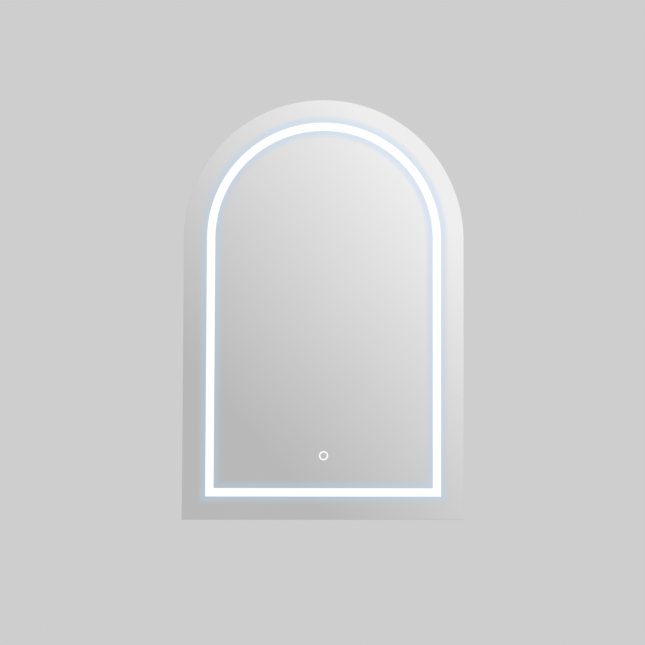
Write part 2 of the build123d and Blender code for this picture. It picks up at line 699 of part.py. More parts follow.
def make_lead_bush_door():
    """The rubber elbow on the back of the door that takes the lead in, with its plug inside the tray."""
    half = DOOR_BUSH_STAND / 2
    z = (DOOR_BUSH_TOP_Z - DOOR_BUSH_HEIGHT, DOOR_BUSH_TOP_Z)
    x = (DOOR_BUSH_X - half, DOOR_BUSH_X + half)
    elbow = box(x, (TRAY_BACK, TRAY_BACK + DOOR_BUSH_STAND), z)
    elbow = chamfer(elbow.edges().filter_by(Axis.Z).group_by(Axis.Y)[-1], half * 0.5)
    elbow = chamfer(elbow.faces().sort_by(Axis.Z)[0].edges(), half * 0.2)
    neck_z = door_bush_neck_z()
    tray = (TRAY_BACK, TRAY_FLOOR)
    elbow += round_bar(
        DOOR_BUSH_NECK - 2 * RIVET_FIT, (DOOR_BUSH_X, tray[0], neck_z), (DOOR_BUSH_X, tray[1], neck_z)
    )
    plug_front = harness_y() - HARNESS_WIDTH
    return elbow + box(x, (plug_front, TRAY_FLOOR), (neck_z - half, neck_z + half))


def door_bush_neck_z():
    """The height at which the lead passes into the door."""
    return DOOR_BUSH_TOP_Z - DOOR_BUSH_HEIGHT + DOOR_BUSH_NECK


# Continuous hinge

def knuckle_is_body(i):
    """The knuckles take turns, and the body's leaf has both end ones."""
    return i % 2 == 0


def hinge_screw_levels(body_side):
    """One screw in every other strip between knuckles of its own leaf."""
    own = [i for i in range(KNUCKLE_COUNT) if knuckle_is_body(i) == body_side]
    return [HINGE_BOTTOM + (i + 0.5) * KNUCKLE_LENGTH for i in own[::2]]


def hinge_screw_x():
    """The line of hinge screws, down the middle of the lip."""
    return -BODY_HALF + (LIP_WIDTH + BODY_WALL) / 2


def hinge_screw_hole(z, y_back, y_front):
    """A clearance hole for a hinge screw, through a sheet between two depths."""
    x = hinge_screw_x()
    hole = HINGE_SCREW_DIAMETER + 2 * HINGE_SCREW_FIT
    return fastener_bar(hole, (x, y_back, z), (x, y_front, z), SHANK_SIDES)


def make_hinge_leaf(body_side):
    """A leaf with its rolled knuckles, notched where the other leaf's knuckles turn."""
    if body_side:
        y_fixed, y_free = BODY_FRONT, BODY_FRONT - LEAF_THICKNESS
    else:
        y_fixed, y_free = TRAY_BACK, TRAY_BACK + LEAF_THICKNESS
    depth = (min(y_fixed, y_free), max(y_fixed, y_free))
    inner_x = -BODY_HALF + LIP_WIDTH - LEAF_END_GAP
    root_x = HINGE_X + KNUCKLE_DIAMETER / 2
    leaf = box((root_x + LEAF_CLEARANCE, inner_x), depth, (HINGE_BOTTOM, HINGE_TOP))
    barrel = PIN_DIAMETER / 2 + PIN_FIT
    for i in range(KNUCKLE_COUNT):
        if knuckle_is_body(i) != body_side:
            continue
        low = HINGE_BOTTOM + i * KNUCKLE_LENGTH + KNUCKLE_GAP / 2
        high = HINGE_BOTTOM + (i + 1) * KNUCKLE_LENGTH - KNUCKLE_GAP / 2
        knuckle = round_bar(KNUCKLE_DIAMETER, (HINGE_X, HINGE_Y, low), (HINGE_X, HINGE_Y, high))
        web = box((HINGE_X + barrel, root_x + 2 * LEAF_CLEARANCE), depth, (low, high))
        bore = round_bar(2 * barrel, (HINGE_X, HINGE_Y, low), (HINGE_X, HINGE_Y, high))
        leaf += knuckle + web
        leaf -= bore
    for z in hinge_screw_levels(body_side):
        leaf -= hinge_screw_hole(z, depth[1], depth[0])
        leaf -= hinge_screw_head(z, y_fixed, y_free, HINGE_SCREW_FIT)
    return leaf


def hinge_screw_head(z, y_fixed, y_free, grow):
    """The cone of a countersunk head, flush with the free face of the leaf."""
    place = Plane(origin=(hinge_screw_x(), y_free, z), z_dir=(0, y_fixed - y_free, 0))
    wide = place * RegularPolygon(HINGE_SCREW_HEAD / 2 + grow, SHANK_SIDES)
    narrow = place.offset(LEAF_THICKNESS) * RegularPolygon(HINGE_SCREW_DIAMETER / 2 + grow, SHANK_SIDES)
    return loft([wide, narrow], ruled=True)


def make_hinge_screws(body_side):
    """Countersunk screws that hold a leaf to the body's front lip or to the door tray."""
    if body_side:
        y_fixed, y_free = BODY_FRONT, BODY_FRONT - LEAF_THICKNESS
        y_end = y_fixed + HINGE_SCREW_LENGTH
    else:
        y_fixed, y_free = TRAY_BACK, TRAY_BACK + LEAF_THICKNESS
        y_end = y_fixed - HINGE_SCREW_LENGTH
    x = hinge_screw_x()
    screws = []
    for z in hinge_screw_levels(body_side):
        head = hinge_screw_head(z, y_fixed, y_free, 0)
        shank = fastener_bar(HINGE_SCREW_DIAMETER, (x, y_fixed, z), (x, y_end, z), SHANK_SIDES)
        screws.append(head + shank)
    return screws


def make_hinge_pin():
    """The single wire pin through all the knuckles."""
    return round_bar(PIN_DIAMETER, (HINGE_X, HINGE_Y, HINGE_BOTTOM), (HINGE_X, HINGE_Y, HINGE_TOP))


# Catch, strike and bumpers

def catch_x():
    """The catch's nose stands just inside the front lip."""
    outer = GLASS_WIDTH / 2 - LIP_INSET - CATCH_LIP_GAP
    return outer - CATCH_NOSE_WIDTH, outer


def catch_front():
    """The plane of the magnet's face, just short of the strike plate."""
    return TRAY_BACK + STRIKE_THICKNESS + CATCH_GAP


def catch_levels():
    """Bottom and top of the catch."""
    return CATCH_Z - CATCH_HEIGHT / 2, CATCH_Z + CATCH_HEIGHT / 2


def make_catch_housing():
    """The moulded catch body: a nose inside the lip and a base that bears on the lip's back."""
    back = catch_front() + CATCH_DEPTH
    nose = box(catch_x(), (catch_front(), back), catch_levels())
    base = box((catch_x()[0], INNER_HALF), (LIP_BACK, back), catch_levels())
    body = nose + base
    body = fillet(body.edges().filter_by(Axis.Z).group_by(Axis.X)[0], CATCH_WALL)
    for under_head, tip in catch_screw_places():
        body -= screw_hole(under_head, tip)
    return body - magnet_block(0)


def catch_screw_places():
    """Two screws through the front lip into the catch's base."""
    x = BODY_HALF - (LIP_WIDTH + BODY_WALL) / 2
    reach = CATCH_HEIGHT / 4
    tip_y = LIP_BACK + CATCH_DEPTH / 2
    return [((x, BODY_FRONT, CATCH_Z + dz), (x, tip_y, CATCH_Z + dz)) for dz in (-reach, reach)]


def magnet_block(shrink):
    """The magnet's room in the nose, open at the front."""
    x, z = catch_x(), catch_levels()
    inset = 2 * CATCH_WALL + shrink
    return box(
        (x[0] + inset, x[1] - inset),
        (catch_front(), catch_front() + CATCH_DEPTH / 2 - shrink),
        (z[0] + inset, z[1] - inset),
    )


def make_strike_plate():
    """The steel plate on the door's back that the magnet holds."""
    x, z = catch_x(), catch_levels()
    plate = box(
        (x[0] - STRIKE_MARGIN / 2, x[1]),
        (TRAY_BACK, TRAY_BACK + STRIKE_THICKNESS),
        (z[0] - STRIKE_MARGIN, z[1] + STRIKE_MARGIN),
    )
    return fillet(plate.edges().filter_by(Axis.Y), STRIKE_MARGIN)


def make_door_bumpers():
    """Soft buttons on the front lip that the door closes on."""
    inset = BODY_INSET + LIP_WIDTH / 2
    total = arch_length(inset)
    face = TRAY_BACK + BUMPER_GAP
    bumpers = []
    for share in (0.06, 0.3, 0.5):
        x, z, _ = along_arch(total * share, inset)
        bumpers.append(fastener_bar(BUMPER_DIAMETER, (x, BODY_FRONT, z), (x, face, z), HEAD_SIDES))
    return bumpers


# Door

def make_door_tray():
    """The arched aluminium pan behind the glass: a back sheet, a rim and a flange for the tape."""
    back = arch_plate(BODY_INSET, TRAY_BACK, TRAY_FLOOR)
    rim = arch_ring(BODY_INSET, BODY_INSET + TRAY_WALL, TRAY_FLOOR, TRAY_FRONT)
    flange = arch_ring(BODY_INSET, LIP_INSET, TRAY_FRONT + TRAY_WALL, TRAY_FRONT)
    tray = back + rim + flange
    for z in hinge_screw_levels(body_side=False):
        tray -= hinge_screw_hole(z, TRAY_BACK, TRAY_FLOOR)
    z = door_bush_neck_z()
    tray -= round_bar(DOOR_BUSH_NECK, (DOOR_BUSH_X, TRAY_BACK, z), (DOOR_BUSH_X, TRAY_FLOOR, z))
    return tray


def make_mirror_glass():
    """The front mirror, with the light band and the touch ring etched into its back."""
    glass = arch_plate(0, GLASS_BACK, GLASS_FRONT)
    glass = chamfer(glass.faces().sort_by(Axis.Y)[0].edges(), GLASS_ARRIS)
    etched = GLASS_BACK - ETCH_DEPTH
    glass -= arch_ring(BAND_INSET, BAND_INSET + BAND_WIDTH, GLASS_BACK, etched)
    ring = round_bar(RING_DIAMETER, (0, GLASS_BACK, RING_Z), (0, etched, RING_Z))
    ring -= round_bar(RING_DIAMETER - 2 * RING_STROKE, (0, GLASS_BACK, RING_Z), (0, etched, RING_Z))
    return glass - ring


def channel_front():
    """The plane of the light channel's rims, just clear of the glass."""
    return GLASS_BACK + GLASS_RELIEF


def make_light_channel():
    """The folded light box behind the band, open to the glass, with a ledge for the diffuser."""
    floor_front = TRAY_FLOOR - CHANNEL_WALL
    channel = arch_ring(CHANNEL_OUTER, CHANNEL_INNER, TRAY_FLOOR, floor_front)
    front = channel_front()
    channel += arch_ring(CHANNEL_OUTER, CHANNEL_OUTER + CHANNEL_WALL, floor_front, front)
    channel += arch_ring(CHANNEL_INNER - CHANNEL_WALL, CHANNEL_INNER, floor_front, front)
    ledge_back = front + DIFFUSER_THICKNESS + CHANNEL_LEDGE
    ledge_front = front + DIFFUSER_THICKNESS
    inner = CHANNEL_WALL + CHANNEL_LEDGE
    channel += arch_ring(CHANNEL_OUTER, CHANNEL_OUTER + inner, ledge_back, ledge_front)
    channel += arch_ring(CHANNEL_INNER - inner, CHANNEL_INNER, ledge_back, ledge_front)
    half = GLASS_WIDTH / 2
    z, y = door_bush_neck_z(), harness_y()
    reach = HARNESS_HOLE / 2
    across = (CHANNEL_OUTER - half, CHANNEL_INNER - half)
    return channel - box(across, (y - reach, y + reach), (z - reach, z + reach))


def make_diffuser():
    """The opal strip in the channel's mouth."""
    inset = CHANNEL_WALL + DIFFUSER_FIT
    front = channel_front()
    return arch_ring(CHANNEL_OUTER + inset, CHANNEL_INNER - inset, front + DIFFUSER_THICKNESS, front)


def make_led_strip():
    """The circuit ribbon round the channel's floor, with a gap at the middle of the bottom run."""
    back = TRAY_FLOOR - CHANNEL_WALL
    half = STRIP_WIDTH / 2
    strip = arch_ring(BAND_MIDDLE - half, BAND_MIDDLE + half, back, back - STRIP_THICKNESS)
    bottom = -HALF_HEIGHT + BAND_MIDDLE
    gap = box((-STRIP_GAP / 2, STRIP_GAP / 2), (TRAY_FRONT, 0), (bottom - STRIP_WIDTH, bottom + STRIP_WIDTH))
    return strip - gap


def make_led_chips():
    """The light-emitting chips, evenly spaced along the ribbon."""
    back = TRAY_FLOOR - CHANNEL_WALL - STRIP_THICKNESS
    chip = Box(CHIP_LENGTH, CHIP_HEIGHT, CHIP_WIDTH, align=(Align.CENTER, Align.MAX, Align.CENTER))
    chips = []
    run = arch_length(BAND_MIDDLE)
    count = round(run / CHIP_PITCH)
    for i in range(count):
        x, z, turn = along_arch(run * (i + 0.5) / count, BAND_MIDDLE)
        chips.append(Pos(x, back, z) * Rot(0, -turn, 0) * chip)
    half = GLASS_WIDTH / 2 - BAND_MIDDLE
    bottom = -HALF_HEIGHT + BAND_MIDDLE
    count = round(2 * half / CHIP_PITCH)
    for i in range(count):
        chips.append(Pos(-half + 2 * half * (i + 0.5) / count, back, bottom) * chip)
    return chips


def make_demister_pad():
    """The heated film on the back of the glass."""
    half_x, half_z = PAD_WIDTH / 2, PAD_HEIGHT / 2
    return box(
        (-half_x, half_x),
        (GLASS_BACK, GLASS_BACK + PAD_THICKNESS),
        (PAD_CENTRE_Z - half_z, PAD_CENTRE_Z + half_z),
    )


def make_touch_sensor():
    """The touch switch board, stuck to the glass behind the ring."""
    half = SENSOR_SIZE / 2
    board = box((-half, half), (GLASS_BACK, GLASS_BACK + SENSOR_THICKNESS), (RING_Z - half, RING_Z + half))
    return fillet(board.edges().filter_by(Axis.Y), half / 5)


def harness_y():
    """The depth of the lead inside the door, at the touch switch's side."""
    return GLASS_BACK + SENSOR_THICKNESS * 2 / 3


def make_door_harness():
    """The flat two-core lead in the door, from the bush through the channel to the touch switch."""
    z, y = door_bush_neck_z(), harness_y()
    half = HARNESS_WIDTH / 2
    start, end = DOOR_BUSH_X + DOOR_BUSH_STAND / 2, -SENSOR_SIZE / 2
    depth = (y - half, y + half)
    lead = box((start, HARNESS_X + half), depth, (z - half, z + half))
    lead += box((HARNESS_X - half, HARNESS_X + half), depth, (RING_Z - half, z + half))
    lead += box((HARNESS_X - half, end), depth, (RING_Z - half, RING_Z + half))
    return lead, (HARNESS_X - start) + (z - RING_Z) + (end - HARNESS_X)


def make_door_mirror():
    """The mirror on the back of the door, seen when it is open."""
    return arch_plate(BODY_INSET + DOOR_MIRROR_MARGIN, TRAY_BACK + MIRROR_THICKNESS, TRAY_BACK)


def make_glass_tape():
    """The foam tape between the tray's flange and the glass."""
    return arch_ring(BODY_INSET + BODY_WALL, LIP_INSET - BODY_WALL, TRAY_FRONT, GLASS_BACK)


# Everything, by name

nodes = {}
supply_lead, supply_length = make_supply_lead()
door_harness, harness_length = make_door_harness()
bracket_holes = [screw_hole(*place) for place in bracket_screw_places()]
nodes["body_shell"] = make_body_shell()
nodes["bottom_panel"] = make_bottom_panel() - bracket_holes
nodes["back_panel"] = make_back_panel()
nodes["back_rivets"] = [
    rivet(x, BACK_FRONT, z, BACK_THICKNESS + BODY_WALL) for x, z in back_rivet_places()
]
nodes["back_mirror"] = make_back_mirror()
nodes["corner_bracket_left"] = make_corner_bracket(-1) - bracket_holes
nodes["corner_bracket_right"] = make_corner_bracket(1) - bracket_holes
nodes["bracket_screws"] = [pan_screw(*place) for place in bracket_screw_places()]
for place, (side, y) in rail_places().items():
    nodes["shelf_rail_" + place] = make_shelf_rail(side, y)
for name, slot_z in shelf_slot_levels().items():
    nodes["shelf_" + name] = make_shelf(slot_z)
    nodes["shelf_clips_" + name] = [
        make_shelf_clip(side, y, slot_z) for side, y in rail_places().values()
    ]
nodes["driver_cover"] = make_driver_cover()
nodes["cover_screws"] = [pan_screw(*place) for place in cover_screw_places()]
nodes["led_driver"] = make_led_driver()
nodes["driver_screws"] = [pan_screw(*place) for place in driver_screw_places()]
nodes["terminal_block"] = make_terminal_block()
nodes["mains_link"] = make_mains_link()
nodes["cable_gland"] = make_cable_gland()
nodes["supply_lead"] = supply_lead
nodes["lead_clips"] = make_lead_clips()
nodes["lead_bush_body"] = make_lead_bush_body()
nodes["door_lead"] = make_free_lead(DOOR_LEAD_ROUTE, LEAD_DIAMETER, "door_lead")
nodes["hinge_body_leaf"] = make_hinge_leaf(body_side=True)
nodes["hinge_body_screws"] = make_hinge_screws(body_side=True)
nodes["hinge_pin"] = make_hinge_pin()
nodes["catch_housing"] = make_catch_housing()
nodes["catch_magnet"] = magnet_block(CATCH_FIT)
nodes["catch_screws"] = [pan_screw(*place) for place in catch_screw_places()]
nodes["door_bumpers"] = make_door_bumpers()
nodes["hinge_door_leaf"] = make_hinge_leaf(body_side=False)
nodes["hinge_door_screws"] = make_hinge_screws(body_side=False)
nodes["door_tray"] = make_door_tray()
nodes["glass_tape"] = make_glass_tape()
nodes["mirror_glass"] = make_mirror_glass()
nodes["light_channel"] = make_light_channel()
nodes["led_strip"] = make_led_strip()
nodes["led_chips"] = make_led_chips()
nodes["light_diffuser"] = make_diffuser()
nodes["demister_pad"] = make_demister_pad()
nodes["touch_sensor"] = make_touch_sensor()
nodes["door_harness"] = door_harness
nodes["lead_bush_door"] = make_lead_bush_door()
nodes["door_mirror"] = make_door_mirror()
nodes["strike_plate"] = make_strike_plate()

for name, lead, length, section in (
    ("supply_lead", supply_lead, supply_length, math.pi * LEAD_DIAMETER ** 2 / 4),
    ("door_harness", door_harness, harness_length, HARNESS_WIDTH ** 2),
):
    print(name, "length", round(length, 1), "volume ratio", round(lead.volume / (section * length), 4))

os.makedirs("parts", exist_ok=True)
for name, shape in nodes.items():
    solid = Compound(children=list(shape)) if isinstance(shape, (list, ShapeList)) else shape
    export_step(solid, "parts/" + name + ".step")
print(len(nodes), "nodes")
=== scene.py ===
# %% [markdown]
# # A lit mirror cabinet with an arched door
#
# The cabinet hangs on a wall. Its door is a frameless mirror, square below and round above. A band
# cut in the silvering lets light through, and a small lit ring below shows where to touch. The
# solids come from the CAD model and are not moved. This script dresses them, and models anew the
# pieces whose looks need more than a solid: the front mirror, the fasteners and the free lead.

import json
import math

import bmesh
import bpy
from mathutils import Matrix, Vector


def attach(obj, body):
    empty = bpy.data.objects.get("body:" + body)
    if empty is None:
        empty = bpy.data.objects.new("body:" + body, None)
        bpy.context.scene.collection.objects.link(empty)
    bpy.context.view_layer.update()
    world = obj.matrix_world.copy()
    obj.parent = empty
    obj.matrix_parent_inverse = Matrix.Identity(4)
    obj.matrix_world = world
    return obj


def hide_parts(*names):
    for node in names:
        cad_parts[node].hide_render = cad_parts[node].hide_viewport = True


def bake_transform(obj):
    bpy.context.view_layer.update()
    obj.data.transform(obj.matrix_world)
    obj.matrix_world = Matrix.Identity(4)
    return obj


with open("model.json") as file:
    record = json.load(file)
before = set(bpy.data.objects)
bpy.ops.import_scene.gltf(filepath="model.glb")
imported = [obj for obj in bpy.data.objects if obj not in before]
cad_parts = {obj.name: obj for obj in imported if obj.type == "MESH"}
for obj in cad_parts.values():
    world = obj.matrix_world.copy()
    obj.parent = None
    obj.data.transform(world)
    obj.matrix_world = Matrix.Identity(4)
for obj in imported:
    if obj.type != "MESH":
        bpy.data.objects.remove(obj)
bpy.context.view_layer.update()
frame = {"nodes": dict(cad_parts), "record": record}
nodes = frame["nodes"]

# %% [markdown]
# ## Camera
#
# The photograph is taken almost straight from the front with a long lens. The mirror is about one
# percent wider at its foot than at its shoulders, and its left side leans more than its right, so
# the camera stands 3 degrees low and 2 degrees to the left, turned by a fifth of a degree. The
# angles are those at which the plate's corners and crown fall where the picture has them.

# %% Camera
CAMERA_DISTANCE = 3.2
CAMERA_PITCH, CAMERA_YAW, CAMERA_ROLL = (math.radians(a) for a in (2.82, 2.13, 0.21))
PHOTO_PIXELS = 645
PIXELS_PER_METRE = 460.35
SENSOR = 36.0
AIM = Vector((-0.0028, -0.1252, -0.0306))

camera_data = bpy.data.cameras.new("camera")
camera_data.sensor_width = SENSOR
camera_data.lens = SENSOR * CAMERA_DISTANCE * PIXELS_PER_METRE / PHOTO_PIXELS
camera = bpy.data.objects.new("camera", camera_data)
bpy.context.scene.collection.objects.link(camera)
ahead = Vector((math.sin(CAMERA_YAW) * math.cos(CAMERA_PITCH),
                math.cos(CAMERA_YAW) * math.cos(CAMERA_PITCH), math.sin(CAMERA_PITCH)))
camera.location = AIM - CAMERA_DISTANCE * ahead
camera.rotation_euler = (math.pi / 2 + CAMERA_PITCH, -CAMERA_ROLL, -CAMERA_YAW)
bpy.context.scene.camera = camera
bpy.context.scene.view_settings.view_transform = "Standard"
print("lens", round(camera_data.lens, 1), "mm")

# %% [markdown]
# ## The free lead
#
# One thin two-core lead crosses from the body to the door beside the hinge. It is soft. It is a tube on a
# smooth spline, turned into a mesh.

# %% The lead's route, as in the CAD model
LEAD_ROUTE = [
    (-0.282, -0.086, 0.118),
    (-0.282, -0.086, 0.096),
    (-0.278, -0.0905, 0.070),
    (-0.272, -0.0977, 0.046),
    (-0.272, -0.0977, 0.022),
]
LEAD_DIAMETER = 0.004
SMOOTH_ORDER, SMOOTH_STEPS, ROUND_STEPS = 3, 12, 4


def spline_object(name, points, radius):
    """A NURBS curve with these control points, with a round section of this radius."""
    curve = bpy.data.curves.new(name, "CURVE")
    curve.dimensions = "3D"
    spline = curve.splines.new("NURBS")
    spline.points.add(len(points) - 1)
    for point, place in zip(spline.points, points):
        point.co = (*place, 1)
    spline.order_u = SMOOTH_ORDER
    spline.use_endpoint_u = True
    spline.resolution_u = SMOOTH_STEPS
    curve.bevel_depth = radius
    curve.bevel_resolution = ROUND_STEPS
    curve.use_fill_caps = True
    made = bpy.data.objects.new(name, curve)
    bpy.context.scene.collection.objects.link(made)
    return made


def centreline(points):
    """Points read from the smooth spline on these control points."""
    bare = spline_object("centreline", points, 0)
    bpy.context.view_layer.update()
    line = bpy.data.meshes.new_from_object(bare.evaluated_get(bpy.context.evaluated_depsgraph_get()))
    found = [tuple(vertex.co) for vertex in line.vertices]
    bpy.data.objects.remove(bare)
    return found


def only(piece):
    """Leaves this object alone selected and active."""
    bpy.ops.object.select_all(action="DESELECT")
    piece.select_set(True)
    bpy.context.view_layer.objects.active = piece


lead_path = centreline(LEAD_ROUTE)
lead = spline_object("free_lead", LEAD_ROUTE, LEAD_DIAMETER / 2)
only(lead)
bpy.ops.object.convert(target="MESH")
lead = bpy.context.object
bpy.ops.object.shade_smooth()
lead_length = sum(math.dist(a, b) for a, b in zip(lead_path, lead_path[1:]))
print("free lead", round(lead_length * 1000, 1), "mm along its spline")

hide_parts("door_lead")
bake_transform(lead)

# %% [markdown]
# ## Stage and light
#
# The photograph has a plain pale grey ground with no shadow. A mirror looks like what it reflects.
# Here that is a soft grey studio, lighter towards the upper right and darker towards the lower
# left, so the sky of the scene carries that slope for the rays that leave a mirror. The camera
# itself sees an even grey. A picture on a card in front of the mirror would do the same for one
# view only, and a slope in the sky holds from every side. Two large soft lamps light the solids.

# %% Colours and nodes
def srgb(code):
    """The linear colour, with alpha, of an sRGB hex value."""
    parts = [int(code[i : i + 2], 16) / 255 for i in (0, 2, 4)]
    return (*(c / 12.92 if c <= 0.04045 else ((c + 0.055) / 1.055) ** 2.4 for c in parts), 1.0)


def add(tree, kind, inputs=None, **settings):
    """Adds a node. Each input, by name or number, takes a value or is linked to another's output."""
    node = tree.nodes.new("ShaderNode" + kind)
    for name, value in settings.items():
        setattr(node, name, value)
    for key, value in (inputs or {}).items():
        if isinstance(value, bpy.types.NodeSocket):
            tree.links.new(value, node.inputs[key])
        else:
            node.inputs[key].default_value = value
    return node


print("ground grey", [round(c, 3) for c in srgb("CECECE")])

# %% The sky: a slope of grey for mirrors, an even grey for the eye, and a fill for all else
GROUND = srgb("CECECE")
SKY_MIDDLE, SKY_ACROSS, SKY_UP = 0.773, 0.880, 0.748
SKY_DARK, SKY_LIGHT = 0.744, 0.967
DISPLAY_CURVE = 2.2
FILL_COLOUR, FILL_STRENGTH = srgb("F4F6F8"), 0.80

world = bpy.data.worlds.new("studio")
bpy.context.scene.world = world
world.use_nodes = True
sky = world.node_tree
sky.nodes.clear()
direction = add(sky, "TexCoord").outputs["Generated"]
axes = add(sky, "SeparateXYZ", {0: direction}).outputs
across = add(sky, "Math", {0: axes["X"], 1: SKY_ACROSS, 2: SKY_MIDDLE}, operation="MULTIPLY_ADD").outputs[0]
slope = add(sky, "Math", {0: axes["Z"], 1: SKY_UP, 2: across}, operation="MULTIPLY_ADD").outputs[0]
slope = add(sky, "Clamp", {"Value": slope, "Min": SKY_DARK, "Max": SKY_LIGHT}).outputs[0]
slope = add(sky, "Math", {0: slope, 1: DISPLAY_CURVE}, operation="POWER").outputs[0]
reflected = add(sky, "Background", {"Color": slope}).outputs[0]
seen = add(sky, "Background", {"Color": GROUND}).outputs[0]
fill = add(sky, "Background", {"Color": FILL_COLOUR, "Strength": FILL_STRENGTH}).outputs[0]
ray = add(sky, "LightPath").outputs
glossy = add(sky, "MixShader", {0: ray["Is Glossy Ray"], 1: fill, 2: reflected}).outputs[0]
straight = add(sky, "Math", {0: ray["Is Camera Ray"], 1: ray["Is Transmission Ray"]}, operation="MAXIMUM")
final = add(sky, "MixShader", {0: straight.outputs[0], 1: glossy, 2: seen}).outputs[0]
add(sky, "OutputWorld", {0: final})
print("sky nodes", len(sky.nodes))

# %% The floor: matte, the same grey as the ground to the eye, and open to mirrors and from below
FLOOR_LEVEL, FLOOR_WIDTH = -1.5, 6.0
bpy.ops.object.select_all(action="DESELECT")
bpy.ops.mesh.primitive_plane_add(size=FLOOR_WIDTH, location=(0, 0, FLOOR_LEVEL))
floor = bpy.context.object
floor.name = "floor"
bpy.ops.object.transform_apply(location=True)
painted = bpy.data.materials.new("matte floor paint")
painted.use_nodes = True
tree = painted.node_tree
tree.nodes.clear()
matte = add(tree, "BsdfDiffuse", {"Color": srgb("D8D8D8")}).outputs[0]
even = add(tree, "Emission", {"Color": GROUND}).outputs[0]
clear_way = add(tree, "BsdfTransparent").outputs[0]
ray = add(tree, "LightPath").outputs
straight = add(tree, "Math", {0: ray["Is Camera Ray"], 1: ray["Is Transmission Ray"]}, operation="MAXIMUM")
top = add(tree, "MixShader", {0: straight.outputs[0], 1: matte, 2: even}).outputs[0]
below = add(tree, "NewGeometry").outputs["Backfacing"]
unseen = add(tree, "Math", {0: below, 1: ray["Is Glossy Ray"]}, operation="MAXIMUM").outputs[0]
both_sides = add(tree, "MixShader", {0: unseen, 1: top, 2: clear_way}).outputs[0]
add(tree, "OutputMaterial", {0: both_sides})
floor.data.materials.append(painted)
print("floor nodes", len(tree.nodes))

# %% Lamps: one larger and stronger from the right, one weaker from the left
LAMPS = {
    "key lamp": {"place": (1.6, -2.6, 2.2), "width": 1.6, "watts": 34},
    "fill lamp": {"place": (-2.2, -2.2, 0.9), "width": 1.8, "watts": 16},
}
for name, lamp in LAMPS.items():
    light = bpy.data.lights.new(name, "AREA")
    light.size = lamp["width"]
    light.energy = lamp["watts"]
    holder = bpy.data.objects.new(name, light)
    bpy.context.scene.collection.objects.link(holder)
    holder.location = lamp["place"]
    holder.rotation_euler = (-Vector(lamp["place"])).to_track_quat("-Z", "Y").to_euler()
    holder.visible_glossy = False
print("lamps", [light.name for light in bpy.data.lights])

# %% [markdown]
# ## Finishes
#
# Each material is named for what the real one is and how its surface was made. Nearly every made
# surface has two scales: a broad cloud in its colour, from the bath, the mould or the roll, and a
# fine grain that breaks its gloss. So one recipe takes both spacings in millimetres, and the
# pieces with a pattern of their own add it afterwards. Patterns read Object coordinates, which are
# metres from the wall's centre, so nothing slides when the door moves. A picture wrapped round the
# piece could do it too, but it would blur close up. Grains under a millimetre are drawn at about a
# millimetre, because a finer one wouldn't show in a picture of the whole cabinet.

# %% The recipe for a surface with a cloud and a grain
MM = 0.001
NOISE_LOW, NOISE_HIGH = 0.3, 0.7
CLOUD_DETAIL = 3.0


def finish(name, tones, cloud_mm, grain_mm, gloss, relief_mm, stretch=(1, 1, 1), **settings):
    """A material whose colour clouds between two tones, and whose grain varies gloss and relief."""
    made = bpy.data.materials.new(name)
    made.use_nodes = True
    tree = made.node_tree
    tree.nodes.clear()
    place = add(tree, "TexCoord").outputs["Object"]
    drawn = add(tree, "Mapping", {"Vector": place, "Scale": [1 / s for s in stretch]}).outputs[0]
    cloud = add(tree, "TexNoise", {"Vector": drawn, "Scale": 1 / (cloud_mm * MM),
                                   "Detail": CLOUD_DETAIL}).outputs[0]
    grain = add(tree, "TexNoise", {"Vector": drawn, "Scale": 1 / (grain_mm * MM)}).outputs[0]
    share = add(tree, "MapRange", {"Value": cloud, "From Min": NOISE_LOW, "From Max": NOISE_HIGH}).outputs[0]
    tint = add(tree, "Mix", {0: share, 6: srgb(tones[0]), 7: srgb(tones[1])}, data_type="RGBA").outputs[2]
    rough = add(tree, "MapRange", {"Value": grain, "From Min": NOISE_LOW, "From Max": NOISE_HIGH,
                                   "To Min": gloss[0], "To Max": gloss[1]}).outputs[0]
    bump = add(tree, "Bump", {"Height": grain, "Distance": relief_mm * MM}).outputs[0]
    shader = add(tree, "BsdfPrincipled", {"Base Color": tint, "Roughness": rough, "Normal": bump, **settings})
    add(tree, "OutputMaterial", {0: shader.outputs[0]})
    print(name, len(tree.nodes), "nodes")
    return made


# %% [markdown]
# ## Metals
#
# The shell, the door's tray and the rails are aluminium sheet, blasted and anodised. The back is a
# powder-coated sheet, the screws are zinc plated, and the hinge is rolled stainless strip. A metal
# takes its whole look from its surface, so each gets its own gloss and grain.

# %% Satin anodised aluminium
# Fine blasting and the anodic film give a soft, even sheen with no clear reflection.
anodised = finish("satin anodised aluminium", ("C8CACC", "CCCECF"), cloud_mm=60, grain_mm=0.9,
                  gloss=(0.36, 0.50), relief_mm=0.01, Metallic=0.9)

# %% Powder-coated steel sheet
# Baked powder flows into low waves, like a faint orange peel, under a satin gloss.
powder = finish("powder-coated steel sheet", ("D9DADB", "DDDEDF"), cloud_mm=90, grain_mm=2.5,
                gloss=(0.42, 0.48), relief_mm=0.03)

# %% Zinc-plated steel
# The plating is bright, with bluish and yellowish patches from its passivation bath.
zinc = finish("zinc-plated steel", ("AEB1B3", "C7C6BE"), cloud_mm=5, grain_mm=1.2,
              gloss=(0.26, 0.40), relief_mm=0.004, Metallic=1.0)

# %% Brushed stainless strip
# The strip was rolled and brushed along its length, so fine upright lines streak its gloss.
LINE_STRETCH = (1, 1, 60)
brushed = finish("brushed stainless strip", ("A4A5A7", "BBBCBC"), cloud_mm=1.0, grain_mm=0.5,
                 gloss=(0.24, 0.42), relief_mm=0.005, stretch=LINE_STRETCH, Metallic=1.0)

